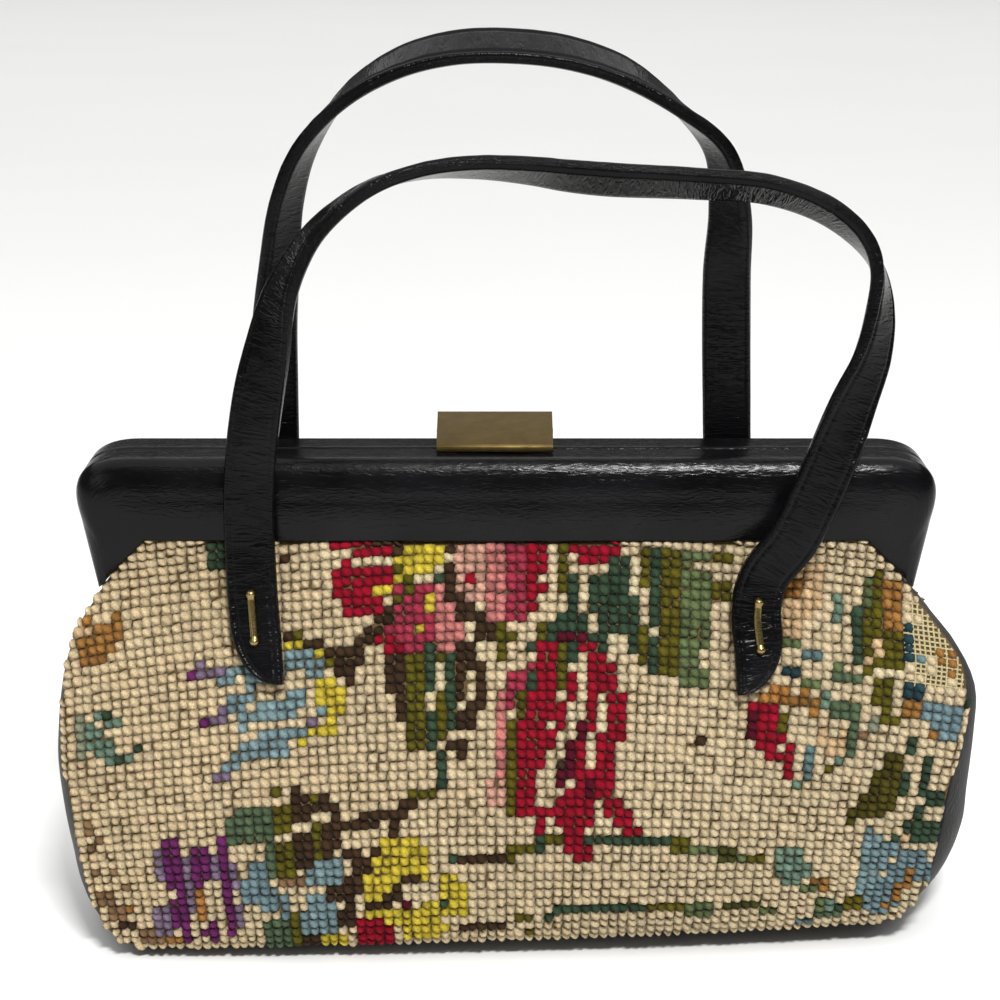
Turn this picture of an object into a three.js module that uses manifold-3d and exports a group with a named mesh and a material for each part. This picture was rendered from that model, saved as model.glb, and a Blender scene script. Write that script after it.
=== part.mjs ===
// Needlepoint frame handbag: two needlepoint panels on a leather gusset, a hinged frame covered in
// leather, two strap handles held by brass staples, and a brass lift clasp.
// Millimetres. +X is the viewer's right, the front faces -Y, +Z is up, and the bag stands on z = 0.

import * as THREE from "three";
import Module from "manifold-3d";

// Clearances and wall thicknesses
const GAP = 0.35;
const PANEL_WALL = 2.4;
const GUSSET_WALL = 1.6;

// Needlepoint panel: one row per level, from the frame down to the bottom seam.
// half is half the width, edge is how far the side seam stands forward of the split of the frame,
// crown is the same for the middle of the panel.
const PANEL_LEVELS = [
  { z: 137.0, half: 117.7, edge: 16.2, crown: 17.2 },
  { z: 121.0, half: 132.2, edge: 12.6, crown: 24.0 },
  { z: 109.0, half: 141.4, edge: 18.0, crown: 29.0 },
  { z: 97.0, half: 147.2, edge: 24.0, crown: 33.6 },
  { z: 84.0, half: 148.4, edge: 29.0, crown: 38.0 },
  { z: 68.0, half: 146.8, edge: 33.5, crown: 42.4 },
  { z: 50.0, half: 143.8, edge: 37.0, crown: 46.2 },
  { z: 33.0, half: 140.8, edge: 39.4, crown: 48.2 },
  { z: 19.0, half: 137.6, edge: 40.4, crown: 48.0 },
  { z: 10.8, half: 133.2, edge: 40.8, crown: 46.6 },
  { z: 6.4, half: 126.4, edge: 40.8, crown: 44.6 },
  { z: 4.8, half: 114.0, edge: 40.6, crown: 42.4 },
];
const PANEL_ROWS = 17;
const PANEL_COLUMNS = 27;
const ROW_CROWDING = 1.55;
const CROWN_POWER = 2.6;
const NORMAL_STEP_ACROSS = 0.01;
const NORMAL_STEP_UP = 0.4;

// The soft body hangs unevenly: lower on the left, and turned a little about the upright below the frame
const SEAM_TILT = 3.0;
const SEAM_TILT_TOP = 80;
const BODY_TURN = 6.0;
const BODY_TURN_TOP = 100;
// How far both sides of the soft body lean to the right, by level
const SIDE_LEAN = [
  { z: 121.0, lean: 0.0 },
  { z: 109.0, lean: 0.6 },
  { z: 97.0, lean: 2.8 },
  { z: 85.0, lean: 2.8 },
  { z: 72.0, lean: 2.1 },
  { z: 58.0, lean: 1.1 },
  { z: 40.0, lean: 1.2 },
  { z: 25.0, lean: 2.0 },
  { z: 12.0, lean: 2.6 },
  { z: 4.8, lean: 2.8 },
];
const SIDE_LEAN_POWER = 3;

// Gusset: how far it swells out past the seam, by level, on the left and on the right
const GUSSET_SWELL = [
  { z: 118.6, left: 0.2, right: -1.2 },
  { z: 110.0, left: 0.2, right: -1.0 },
  { z: 100.0, left: 2.2, right: 1.0 },
  { z: 84.0, left: 4.8, right: 7.6 },
  { z: 72.0, left: 6.8, right: 10.2 },
  { z: 60.0, left: 8.4, right: 12.8 },
  { z: 48.0, left: 9.4, right: 14.4 },
  { z: 36.0, left: 10.0, right: 15.6 },
  { z: 18.0, left: 11.0, right: 12.8 },
  { z: 6.0, left: 8.0, right: 8.0 },
];
const GUSSET_TOP = 118.6;
const GUSSET_SIDE_ROWS = 13;
const GUSSET_BOTTOM_STEPS = 20;
const BASE_CURL_SLOPE = 0.3;
const SIDE_FLAT_SHARE = 0.22;
const SIDE_BEND = 2;
const BASE_BEND = 1.15;
// How far a station must face down to be held above the floor, and to rest on it
const LEAST_DOWN = 0.01;
const RESTING_DOWN = 0.9;

// Leather covered frame half: outline seen from the front and the shape of its cross-section
const FRAME_TOP = 164.3;
const FRAME_SPLIT = 0.4;
const EAR_TIP = { x: 135.0, z: 119.6 };
const SIDE_TOP = { x: 140.2, z: 147.0 };
const CORNER_PULL = { x: 143.2, z: FRAME_TOP };
const TOP_END = { x: 122.5, z: FRAME_TOP };
const FACE_LOWER_EDGE = PANEL_LEVELS[0].z + GAP;
const PANEL_CLEARANCE = 1.3 * GAP;
const EAR_DEPTH = 12.8;
const FACE_DEPTH = 17.2;
const EAR_ROUND = 2.0;
const TOP_ROUND = 6.5;
const EAR_WALL = 1.5;
const FRAME_WALL = 2.6;
const FACE_SWELL = 0.6;
// Share of the slanted edge over which the section grows from the ear's to the full one
const EAR_SHARE = 0.4;
const ROUND_STEPS = 4;
const SIDE_STEPS = 5;
const CORNER_STEPS = 6;
const TOP_STEPS = 12;

// Hidden link that joins the two frame halves inside each ear
const LINK = { level: 130, inset: 3.0, width: 15, height: 7, thickness: 1.2 };

// Strap handles: one row per bend of the strap's middle line, from the left tab to the right tab.
// out is the distance from the split plane; null means the strap lies on the panel there.
// roll turns the outer face from facing away from the bag (0) to facing out of the loop (90).
const FRONT_STRAP = [
  { x: -79.9, out: null, z: 94.5, roll: 5 },
  { x: -80.9, out: null, z: 108.0, roll: 5 },
  { x: -82.2, out: 25.4, z: 122.0, roll: 4 },
  { x: -82.8, out: 22.6, z: 138.0, roll: 2 },
  { x: -82.4, out: 22.6, z: 155.0, roll: 0 },
  { x: -80.8, out: 22.6, z: 172.0, roll: 2 },
  { x: -78.1, out: 22.2, z: 188.5, roll: 10 },
  { x: -74.9, out: 21.5, z: 202.6, roll: 30 },
  { x: -70.9, out: 20.4, z: 218.5, roll: 55 },
  { x: -65.3, out: 19.2, z: 230.5, roll: 72 },
  { x: -57.5, out: 18.0, z: 241.2, roll: 82 },
  { x: -42.4, out: 16.6, z: 252.4, roll: 93 },
  { x: -26.7, out: 15.2, z: 257.4, roll: 102 },
  { x: -9.2, out: 14.0, z: 258.5, roll: 112 },
  { x: 8.9, out: 13.3, z: 257.1, roll: 119 },
  { x: 18.0, out: 13.0, z: 255.8, roll: 125 },
  { x: 31.5, out: 13.0, z: 254.5, roll: 128 },
  { x: 58.9, out: 13.0, z: 253.2, roll: 124 },
  { x: 81.6, out: 13.2, z: 251.3, roll: 121 },
  { x: 99.8, out: 14.0, z: 244.8, roll: 116 },
  { x: 111.0, out: 15.0, z: 235.8, roll: 105 },
  { x: 116.0, out: 16.5, z: 226.5, roll: 79 },
  { x: 117.0, out: 18.5, z: 214.0, roll: 55 },
  { x: 114.9, out: 21.0, z: 200.2, roll: 39 },
  { x: 109.6, out: 23.4, z: 186.3, roll: 20 },
  { x: 104.3, out: 25.0, z: 171.0, roll: -2 },
  { x: 98.0, out: 25.4, z: 154.0, roll: -4 },
  { x: 91.8, out: 25.2, z: 140.0, roll: -2 },
  { x: 83.6, out: 25.2, z: 128.5, roll: 2 },
  { x: 81.0, out: 27.2, z: 118.0, roll: 3 },
  { x: 82.0, out: null, z: 105.0, roll: 4 },
  { x: 82.6, out: null, z: 92.0, roll: 5 },
];
const BACK_STRAP = [
  { x: -79.4, out: null, z: 94.0, roll: 5 },
  { x: -79.6, out: null, z: 108.0, roll: 5 },
  { x: -79.6, out: 25.4, z: 122.0, roll: 4 },
  { x: -79.4, out: 22.6, z: 138.0, roll: 3 },
  { x: -78.9, out: 23.4, z: 156.0, roll: 8 },
  { x: -78.6, out: 24.6, z: 178.0, roll: 20 },
  { x: -77.7, out: 25.0, z: 200.0, roll: 34 },
  { x: -75.2, out: 24.6, z: 221.0, roll: 47 },
  { x: -72.1, out: 23.5, z: 241.5, roll: 61 },
  { x: -65.7, out: 22.0, z: 259.0, roll: 73 },
  { x: -52.2, out: 20.5, z: 275.8, roll: 95 },
  { x: -35.6, out: 19.0, z: 286.4, roll: 110 },
  { x: -18.0, out: 18.0, z: 291.5, roll: 117 },
  { x: 1.2, out: 17.5, z: 292.3, roll: 118 },
  { x: 20.3, out: 18.0, z: 290.0, roll: 116 },
  { x: 38.0, out: 19.0, z: 284.0, roll: 110 },
  { x: 55.4, out: 20.5, z: 272.6, roll: 90 },
  { x: 69.4, out: 22.0, z: 258.4, roll: 67 },
  { x: 73.7, out: 23.5, z: 238.0, roll: 43 },
  { x: 73.6, out: 24.6, z: 218.0, roll: 26 },
  { x: 74.2, out: 25.0, z: 197.0, roll: 16 },
  { x: 75.0, out: 24.6, z: 176.0, roll: 10 },
  { x: 75.8, out: 23.4, z: 156.0, roll: 6 },
  { x: 77.6, out: 22.6, z: 138.0, roll: 3 },
  { x: 79.0, out: 25.4, z: 122.0, roll: 4 },
  { x: 79.5, out: null, z: 108.0, roll: 5 },
  { x: 79.6, out: null, z: 94.0, roll: 5 },
];
const STRAP_WIDTH = 16.2;
const STRAP_THICKNESS = 4.4;
const STRAP_EDGE_ROUND = 1.5;
const STRAP_EDGE_DROP = 0.8;
const STRAP_LIFT = 0.75;
const STRAP_STEPS = 58;
const TAB_TIP_LENGTH = 21;
const TAB_TIP_WIDTH = 1.6;

// Brass staples: where each runs along its tab, by level
const STAPLE_SPAN = { front_left: [105.8, 124.6], front_right: [103.2, 122.0], back: [107.0, 125.8] };
const STAPLE_WIDTH = 2.6;
const STAPLE_HEIGHT = 1.5;
const STAPLE_LIFT = 0.4;
const STAPLE_STEPS = 6;
const STAPLE_END = 0.62;
const STAPLE_SHOULDER = 0.4;
const STAPLE_CROWN = 0.5;
const TAB_SEARCH_STEPS = 400;

// Brass lift clasp: side profile as [distance behind the split plane, height over the frame top]
const CLASP_MIDDLE = -3.7;
const CLASP_WIDTH = 38.2;
const CLASP_SHEET = 1.2;
const CLASP_AXIS = { y: 9.5, z: FRAME_TOP + 2.9 };
const CLASP_PLATE = [
  [-7.0, 0.5], [-7.0, 2.2], [-6.2, 3.0], [11.2, 9.3], [12.2, 8.8],
  [12.2, 4.3], [11.0, 4.3], [11.0, 7.8], [-5.8, 1.7], [-5.8, 0.5],
];
const CLASP_CHEEK = [
  [-6.4, 1.1], [-6.6, 2.3], [11.2, 9.0], [12.0, 8.6], [12.0, 2.7], [10.6, 1.0], [8.2, 1.0],
];
const CLASP_PIN_RADIUS = 1.0;
const CLASP_PIN_OVERRUN = 0.6;
const CLASP_HOLE_RADIUS = 1.35;
const CLASP_HOLE_OVERRUN = 4;
const ROD_SIDES = 20;
const CLASP_BASE = { width: 26, front: 4.6, back: 13.4, bottom: 0.3, top: 1.1 };
const CLASP_LUG = { offset: 9, width: 2.4, radius: 1.75, sunk: 0.2 };
const CLASP_CATCH = { width: 11, front: -4.6, back: -1.4, bottom: 0.3, top: 1.3 };

// Colours of the materials
const WOOL = new THREE.MeshStandardMaterial({ color: 0xcbb68c, roughness: 0.95 });
const LEATHER = new THREE.MeshStandardMaterial({ color: 0x1b1b1e, roughness: 0.45 });
const BRASS = new THREE.MeshStandardMaterial({ color: 0x9a8450, metalness: 1, roughness: 0.35 });

const wasm = await Module();
wasm.setup();

// Value of one column of a table at a level, on a smooth curve through its rows
function smoothColumn(rows, level, column) {
  const last = rows.length - 1;
  let i = 0;
  while (i < last - 1 && level < rows[i + 1].z) i += 1;
  const before = rows[Math.max(i - 1, 0)];
  const from = rows[i];
  const to = rows[i + 1];
  const after = rows[Math.min(i + 2, last)];
  const step = to.z - from.z;
  const t = THREE.MathUtils.clamp((level - from.z) / step, 0, 1);
  const startSlope = i === 0 ? (to[column] - from[column]) / step
    : (to[column] - before[column]) / (to.z - before.z);
  const endSlope = i + 1 === last ? (to[column] - from[column]) / step
    : (after[column] - from[column]) / (after.z - from.z);
  const t2 = t * t;
  const t3 = t2 * t;
  return (2 * t3 - 3 * t2 + 1) * from[column] + (t3 - 2 * t2 + t) * step * startSlope
    + (3 * t2 - 2 * t3) * to[column] + (t3 - t2) * step * endSlope;
}

// Half width of the panel; straight along the slanted edge that meets the frame's ear
function panelHalf(level) {
  if (level >= PANEL_LEVELS[1].z) {
    const share = (level - PANEL_LEVELS[1].z) / (PANEL_LEVELS[0].z - PANEL_LEVELS[1].z);
    return THREE.MathUtils.lerp(PANEL_LEVELS[1].half, PANEL_LEVELS[0].half, share);
  }
  return smoothColumn(PANEL_LEVELS, level, "half");
}

// How far the outside of the panel stands from the split plane
function panelDepth(x, level) {
  const edge = smoothColumn(PANEL_LEVELS, level, "edge");
  const crown = smoothColumn(PANEL_LEVELS, level, "crown");
  const side = Math.min(Math.abs(x) / panelHalf(level), 1);
  return edge + (crown - edge) * (1 - side ** CROWN_POWER);
}

// The bottom seam hangs lower on the left than on the right
function tiltedLevel(x, level) {
  const share = Math.max(0, 1 - level / SEAM_TILT_TOP);
  return level + SEAM_TILT * (x / PANEL_LEVELS[4].half) * share * share;
}

// Point on the outside of the front panel; across runs from -1 at the left seam to 1 at the right
function panelPoint(across, level) {
  const x = across * panelHalf(level);
  return new THREE.Vector3(x, -panelDepth(x, level), tiltedLevel(x, level));
}

function panelNormal(across, level) {
  const left = panelPoint(Math.max(across - NORMAL_STEP_ACROSS, -1), level);
  const right = panelPoint(Math.min(across + NORMAL_STEP_ACROSS, 1), level);
  const low = panelPoint(across, Math.max(level - NORMAL_STEP_UP, PANEL_LEVELS.at(-1).z));
  const high = panelPoint(across, Math.min(level + NORMAL_STEP_UP, PANEL_LEVELS[0].z));
  return right.sub(left).cross(high.sub(low)).normalize();
}

// Mesh data with every triangle facing outward
function closedGeometry(points, triangles) {
  let volume = 0;
  for (const [a, b, c] of triangles) {
    volume += points[a].dot(points[b].clone().cross(points[c]));
  }
  const facing = volume > 0 ? triangles : triangles.map(([a, b, c]) => [a, c, b]);
  const geometry = new THREE.BufferGeometry();
  const places = points.flatMap((point) => point.toArray());
  geometry.setAttribute("position", new THREE.Float32BufferAttribute(places, 3));
  geometry.setIndex(facing.flat());
  geometry.computeVertexNormals();
  return geometry;
}

// Closed wall between an outer and an inner grid of points of the same size
function wallBetween(outer, inner) {
  const rows = outer.length;
  const columns = outer[0].length;
  const points = [...outer.flat(), ...inner.flat()];
  const shift = rows * columns;
  const triangles = [];
  const quad = (a, b, c, d) => triangles.push([a, b, c], [a, c, d]);
  for (let r = 0; r < rows - 1; r += 1) {
    for (let c = 0; c < columns - 1; c += 1) {
      const a = r * columns + c;
      const b = a + 1;
      const d = a + columns;
      quad(a, b, d + 1, d);
      triangles.push([shift + a, shift + d + 1, shift + b], [shift + a, shift + d, shift + d + 1]);
    }
  }
  for (let c = 0; c < columns - 1; c += 1) {
    const low = c;
    const high = (rows - 1) * columns + c;
    quad(low + 1, low, shift + low, shift + low + 1);
    quad(high, high + 1, shift + high + 1, shift + high);
  }
  for (let r = 0; r < rows - 1; r += 1) {
    const left = r * columns;
    const right = left + columns - 1;
    quad(left, left + columns, shift + left + columns, shift + left);
    quad(right + columns, right, shift + right, shift + right + columns);
  }
  return closedGeometry(points, triangles);
}

// Grid moved inward by a thickness given for each row, square to its own surface
function insetGrid(grid, thicknessOfRow) {
  const rows = grid.length;
  const columns = grid[0].length;
  return grid.map((line, r) => line.map((point, c) => {
    const along = grid[Math.min(r + 1, rows - 1)][c].clone().sub(grid[Math.max(r - 1, 0)][c]);
    const across = line[Math.min(c + 1, columns - 1)].clone().sub(line[Math.max(c - 1, 0)]);
    const normal = along.cross(across).normalize();
    return point.clone().addScaledVector(normal, thicknessOfRow(r));
  }));
}

function mirroredInDepth(geometry) {
  const turned = geometry.clone();
  const position = turned.getAttribute("position");
  for (let i = 0; i < position.count; i += 1) position.setY(i, -position.getY(i));
  const index = turned.getIndex();
  for (let i = 0; i < index.count; i += 3) {
    const keep = index.getX(i + 1);
    index.setX(i + 1, index.getX(i + 2));
    index.setX(i + 2, keep);
  }
  turned.computeVertexNormals();
  return turned;
}

// The body below the frame, pushed back on the right and forward on the left, its sides leaning right
function turnedBody(geometry) {
  const position = geometry.getAttribute("position");
  for (let i = 0; i < position.count; i += 1) {
    const side = position.getX(i) / PANEL_LEVELS[4].half;
    const share = Math.max(0, 1 - position.getZ(i) / BODY_TURN_TOP);
    const lean = smoothColumn(SIDE_LEAN, position.getZ(i), "lean") * Math.abs(side) ** SIDE_LEAN_POWER;
    position.setX(i, position.getX(i) + lean);
    position.setY(i, position.getY(i) + BODY_TURN * side * share * share);
  }
  geometry.computeVertexNormals();
  return geometry;
}

// Needlepoint panel, a curved wall
function panelGeometry() {
  const top = PANEL_LEVELS[0].z;
  const bottom = PANEL_LEVELS.at(-1).z;
  const outer = [];
  const inner = [];
  for (let r = 0; r < PANEL_ROWS; r += 1) {
    const level = bottom + (top - bottom) * (r / (PANEL_ROWS - 1)) ** ROW_CROWDING;
    const outerLine = [];
    const innerLine = [];
    for (let c = 0; c < PANEL_COLUMNS; c += 1) {
      const across = -1 + 2 * c / (PANEL_COLUMNS - 1);
      const point = panelPoint(across, level);
      outerLine.push(point);
      innerLine.push(point.clone().addScaledVector(panelNormal(across, level), -PANEL_WALL));
    }
    outer.push(outerLine);
    inner.push(innerLine);
  }
  return wallBetween(outer, inner);
}

// Where the gusset meets the back of the front panel's rim, from the left ear round to the right ear
function seamStations() {
  const bottom = PANEL_LEVELS.at(-1).z;
  const stations = [];
  const add = (across, level) => {
    const normal = panelNormal(across, level);
    const point = panelPoint(across, level).addScaledVector(normal, -PANEL_WALL);
    point.y += GAP;
    stations.push({ point, level, side: across < 0 ? "left" : "right" });
  };
  const levelOf = (i) => bottom + (GUSSET_TOP - bottom) * (1 - i / GUSSET_SIDE_ROWS) ** ROW_CROWDING;
  for (let i = 0; i < GUSSET_SIDE_ROWS; i += 1) add(-1, levelOf(i));
  for (let i = 0; i <= GUSSET_BOTTOM_STEPS; i += 1) add(-1 + 2 * i / GUSSET_BOTTOM_STEPS, bottom);
  for (let i = GUSSET_SIDE_ROWS - 1; i >= 0; i -= 1) add(1, levelOf(i));
  return stations;
}

// Leather gusset: a band under the bag and up both sides, flat where the bag stands on it
function gussetGeometry() {
  const stations = seamStations();
  const last = stations.length - 1;
  const grid = stations.map((station, i) => {
    const along = stations[Math.min(i + 1, last)].point.clone()
      .sub(stations[Math.max(i - 1, 0)].point);
    const outward = new THREE.Vector3(along.z, 0, -along.x).normalize();
    const { point } = station;
    const down = Math.max(-outward.z, 0);
    let swell = smoothColumn(GUSSET_SWELL, station.level, station.side);
    if (down > LEAST_DOWN) swell = Math.min(swell, point.z / down);
    if (down > RESTING_DOWN) swell = point.z / down;
    const run = point.z / BASE_CURL_SLOPE / Math.abs(point.y);
    const baseShare = down ** 3;
    const flat = THREE.MathUtils.lerp(SIDE_FLAT_SHARE, 1 - run, baseShare);
    const bend = THREE.MathUtils.lerp(SIDE_BEND, BASE_BEND, baseShare);
    return [-1, -(1 + flat) / 2, -flat, 0, flat, (1 + flat) / 2, 1].map((share) => {
      const past = Math.max(0, (Math.abs(share) - flat) / (1 - flat));
      const out = swell * (1 - past ** bend);
      return new THREE.Vector3(point.x, -share * point.y, point.z).addScaledVector(outward, out);
    });
  });
  return wallBetween(grid, insetGrid(grid, () => GUSSET_WALL));
}

// Outline of the frame from one ear tip over the top to the other, with the matching lower edge
function frameStations() {
  const half = [];
  const steps = SIDE_STEPS + CORNER_STEPS;
  const corner = new THREE.QuadraticBezierCurve(
    new THREE.Vector2(SIDE_TOP.x, SIDE_TOP.z),
    new THREE.Vector2(CORNER_PULL.x, CORNER_PULL.z),
    new THREE.Vector2(TOP_END.x, TOP_END.z),
  );
  const chamferLow = PANEL_LEVELS[1].z + GAP;
  for (let i = 0; i <= steps; i += 1) {
    const share = i / steps;
    const side = i / SIDE_STEPS;
    const rim = i <= SIDE_STEPS
      ? new THREE.Vector2(
        THREE.MathUtils.lerp(EAR_TIP.x, SIDE_TOP.x, side),
        THREE.MathUtils.lerp(EAR_TIP.z, SIDE_TOP.z, side),
      )
      : corner.getPoint((i - SIDE_STEPS) / CORNER_STEPS);
    const level = THREE.MathUtils.lerp(chamferLow, FACE_LOWER_EDGE, share);
    const lower = new THREE.Vector2(panelHalf(level - GAP) + PANEL_CLEARANCE, level);
    half.push({ rim, lower, share });
  }
  const stations = half.map(({ rim, lower, share }) => ({
    rim: new THREE.Vector2(-rim.x, rim.y), lower: new THREE.Vector2(-lower.x, lower.y), share,
  }));
  for (let i = 1; i < TOP_STEPS; i += 1) {
    const across = -1 + 2 * i / TOP_STEPS;
    const lower = new THREE.Vector2(across * half.at(-1).lower.x, FACE_LOWER_EDGE);
    stations.push({ rim: new THREE.Vector2(across * TOP_END.x, FRAME_TOP), lower, share: 1 });
  }
  return [...stations, ...half.reverse()];
}

// Front half of the frame: a leather covered tray edge that turns from the split over to the face
function frameGeometry() {
  const stations = frameStations();
  const outer = stations.map(({ rim, lower, share }) => {
    const rise = Math.sin(share * Math.PI / 2);
    const depth = THREE.MathUtils.lerp(EAR_DEPTH, FACE_DEPTH, rise);
    const round = THREE.MathUtils.lerp(EAR_ROUND, TOP_ROUND, Math.min(share / EAR_SHARE, 1));
    const inward = lower.clone().sub(rim);
    const width = inward.length();
    inward.normalize();
    const at = (inset, y) => new THREE.Vector3(rim.x + inward.x * inset, -y, rim.y + inward.y * inset);
    const line = [at(0, FRAME_SPLIT), at(0, (FRAME_SPLIT + depth - round) / 2)];
    for (let k = 0; k <= ROUND_STEPS; k += 1) {
      const angle = k / ROUND_STEPS * Math.PI / 2;
      line.push(at(round * (1 - Math.cos(angle)), depth - round + round * Math.sin(angle)));
    }
    const lowerDepth = panelDepth(lower.x, lower.y - GAP);
    const middle = (round + width) / 2;
    line.push(at(middle, (depth + lowerDepth) / 2 + FACE_SWELL * share));
    line.push(at(width, lowerDepth));
    return line;
  });
  const wallAt = ({ share }) => THREE.MathUtils.lerp(EAR_WALL, FRAME_WALL, Math.min(share / EAR_SHARE, 1));
  return wallBetween(outer, insetGrid(outer, (r) => wallAt(stations[r])));
}

function linkGeometry(side) {
  const slope = (SIDE_TOP.x - EAR_TIP.x) / (SIDE_TOP.z - EAR_TIP.z);
  const rimX = EAR_TIP.x + slope * (LINK.level - EAR_TIP.z);
  const link = new THREE.BoxGeometry(LINK.thickness, LINK.width, LINK.height);
  link.rotateY(Math.atan(slope));
  link.translate(rimX - LINK.inset, 0, LINK.level);
  if (side < 0) link.rotateZ(Math.PI);
  return link;
}

// Points, directions and share of length along a strap; facing is -1 for the front, 1 for the back
function strapFrames(table, facing, steps) {
  const points = table.map(({ x, out, z }) => {
    const rest = out ?? panelDepth(Math.abs(x) - STRAP_WIDTH / 2, z) + STRAP_THICKNESS / 2 + STRAP_LIFT;
    return new THREE.Vector3(x, facing * rest, z);
  });
  const path = new THREE.CatmullRomCurve3(points, false, "centripetal");
  const frames = [];
  for (let i = 0; i <= steps; i += 1) {
    const share = i / steps;
    const t = path.getUtoTmapping(share);
    const place = t * (table.length - 1);
    const row = Math.min(Math.floor(place), table.length - 2);
    const roll = THREE.MathUtils.degToRad(
      THREE.MathUtils.lerp(table[row].roll, table[row + 1].roll, place - row),
    );
    const tangent = path.getTangent(t);
    const outward = new THREE.Vector3(-tangent.z, 0, tangent.x).normalize();
    const normal = new THREE.Vector3(0, facing * Math.cos(roll), 0).addScaledVector(outward, Math.sin(roll));
    normal.addScaledVector(tangent, -normal.dot(tangent)).normalize();
    const width = normal.clone().cross(tangent).normalize();
    frames.push({ point: path.getPoint(t), tangent, normal, width, share });
  }
  return { frames, length: path.getLength() };
}

// Solid swept through rings of points, closed at both ends
function sweptGeometry(rings) {
  const count = rings[0].length;
  const points = rings.flat();
  const triangles = [];
  for (let r = 0; r < rings.length - 1; r += 1) {
    for (let c = 0; c < count; c += 1) {
      const a = r * count + c;
      const b = r * count + (c + 1) % count;
      triangles.push([a, b, b + count], [a, b + count, a + count]);
    }
  }
  const end = (rings.length - 1) * count;
  for (let c = 1; c < count - 1; c += 1) {
    triangles.push([0, c + 1, c], [end, end + c, end + c + 1]);
  }
  return closedGeometry(points, triangles);
}

// Leather strap with a one-sided curved tip at each end, the point towards the middle of the bag
function strapGeometry(table, facing) {
  const { frames, length } = strapFrames(table, facing, STRAP_STEPS);
  const half = STRAP_WIDTH / 2;
  const thick = STRAP_THICKNESS / 2;
  const rings = frames.map(({ point, normal, width, share }) => {
    const fromTip = Math.min(share, 1 - share) * length;
    const inTip = Math.min(fromTip / TAB_TIP_LENGTH, 1);
    const cut = (STRAP_WIDTH - TAB_TIP_WIDTH) * (1 - Math.sqrt(1 - (1 - inTip) ** 2));
    const outerSide = width.x * point.x > 0 ? 1 : -1;
    const high = half - (fromTip < TAB_TIP_LENGTH && outerSide > 0 ? cut : 0);
    const low = -half + (fromTip < TAB_TIP_LENGTH && outerSide < 0 ? cut : 0);
    const round = Math.min(STRAP_EDGE_ROUND, (high - low) / 3);
    const edge = thick - round * STRAP_EDGE_DROP;
    const section = [
      [low, -edge], [low, edge], [low + round, thick], [high - round, thick],
      [high, edge], [high, -edge], [high - round, -thick], [low + round, -thick],
    ];
    return section.map(([w, n]) => point.clone().addScaledVector(width, w).addScaledVector(normal, n));
  });
  return sweptGeometry(rings);
}

// Half-round brass staple lying along a tab, just clear of the leather
function stapleGeometry(table, facing, side, span) {
  const fine = strapFrames(table, facing, TAB_SEARCH_STEPS).frames;
  const onTab = fine.filter(({ point }) => point.x * side > 0 && point.z >= span[0] && point.z <= span[1]);
  const rings = [];
  for (let i = 0; i <= STAPLE_STEPS; i += 1) {
    const { point, normal, width } = onTab[Math.round(i / STAPLE_STEPS * (onTab.length - 1))];
    const end = i === 0 || i === STAPLE_STEPS ? STAPLE_END : 1;
    const half = STAPLE_WIDTH / 2 * end;
    const height = STAPLE_HEIGHT * end;
    const base = STRAP_THICKNESS / 2 + STAPLE_LIFT;
    const foot = point.clone().addScaledVector(normal, base);
    const shoulder = height * STAPLE_SHOULDER;
    const crown = half * STAPLE_CROWN;
    const section = [
      [-half, 0], [-half, shoulder], [-crown, height], [crown, height], [half, shoulder], [half, 0],
    ];
    rings.push(section.map(([w, n]) => foot.clone().addScaledVector(width, w).addScaledVector(normal, n)));
  }
  return sweptGeometry(rings);
}

// Solid from a side profile, drawn out along X
function profileSolid(profile, width, middle) {
  const shape = new THREE.Shape(profile.map(([y, z]) => new THREE.Vector2(y, z)));
  const geometry = new THREE.ExtrudeGeometry(shape, { depth: width, bevelEnabled: false });
  geometry.rotateX(Math.PI / 2);
  geometry.rotateZ(Math.PI / 2);
  geometry.translate(middle - width / 2, 0, FRAME_TOP);
  return geometry;
}

function rodAlongX(radius, width, middle) {
  const rod = new THREE.CylinderGeometry(radius, radius, width, ROD_SIDES);
  rod.rotateZ(Math.PI / 2);
  rod.translate(middle, CLASP_AXIS.y, CLASP_AXIS.z);
  return rod;
}

function boxOnFrame({ width, front, back, bottom, top }) {
  const box = new THREE.BoxGeometry(width, back - front, top - bottom);
  box.translate(CLASP_MIDDLE, (front + back) / 2, FRAME_TOP + (bottom + top) / 2);
  return box;
}

// Solid for adding and cutting, made from a geometry with its repeated corners joined
function solidOf(geometry) {
  const position = geometry.getAttribute("position");
  const index = geometry.getIndex();
  const seen = new Map();
  const vertices = [];
  const corners = [];
  const count = index ? index.count : position.count;
  for (let i = 0; i < count; i += 1) {
    const v = index ? index.getX(i) : i;
    const key = [position.getX(v), position.getY(v), position.getZ(v)].map((n) => n.toFixed(4)).join(" ");
    if (!seen.has(key)) {
      seen.set(key, seen.size);
      vertices.push(position.getX(v), position.getY(v), position.getZ(v));
    }
    corners.push(seen.get(key));
  }
  return new wasm.Manifold(new wasm.Mesh({
    numProp: 3, vertProperties: new Float32Array(vertices), triVerts: new Uint32Array(corners),
  }));
}

function geometryOf(solid) {
  const mesh = solid.getMesh();
  const geometry = new THREE.BufferGeometry();
  geometry.setAttribute("position", new THREE.Float32BufferAttribute(mesh.vertProperties, 3));
  geometry.setIndex([...mesh.triVerts]);
  geometry.computeVertexNormals();
  return geometry;
}

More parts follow.
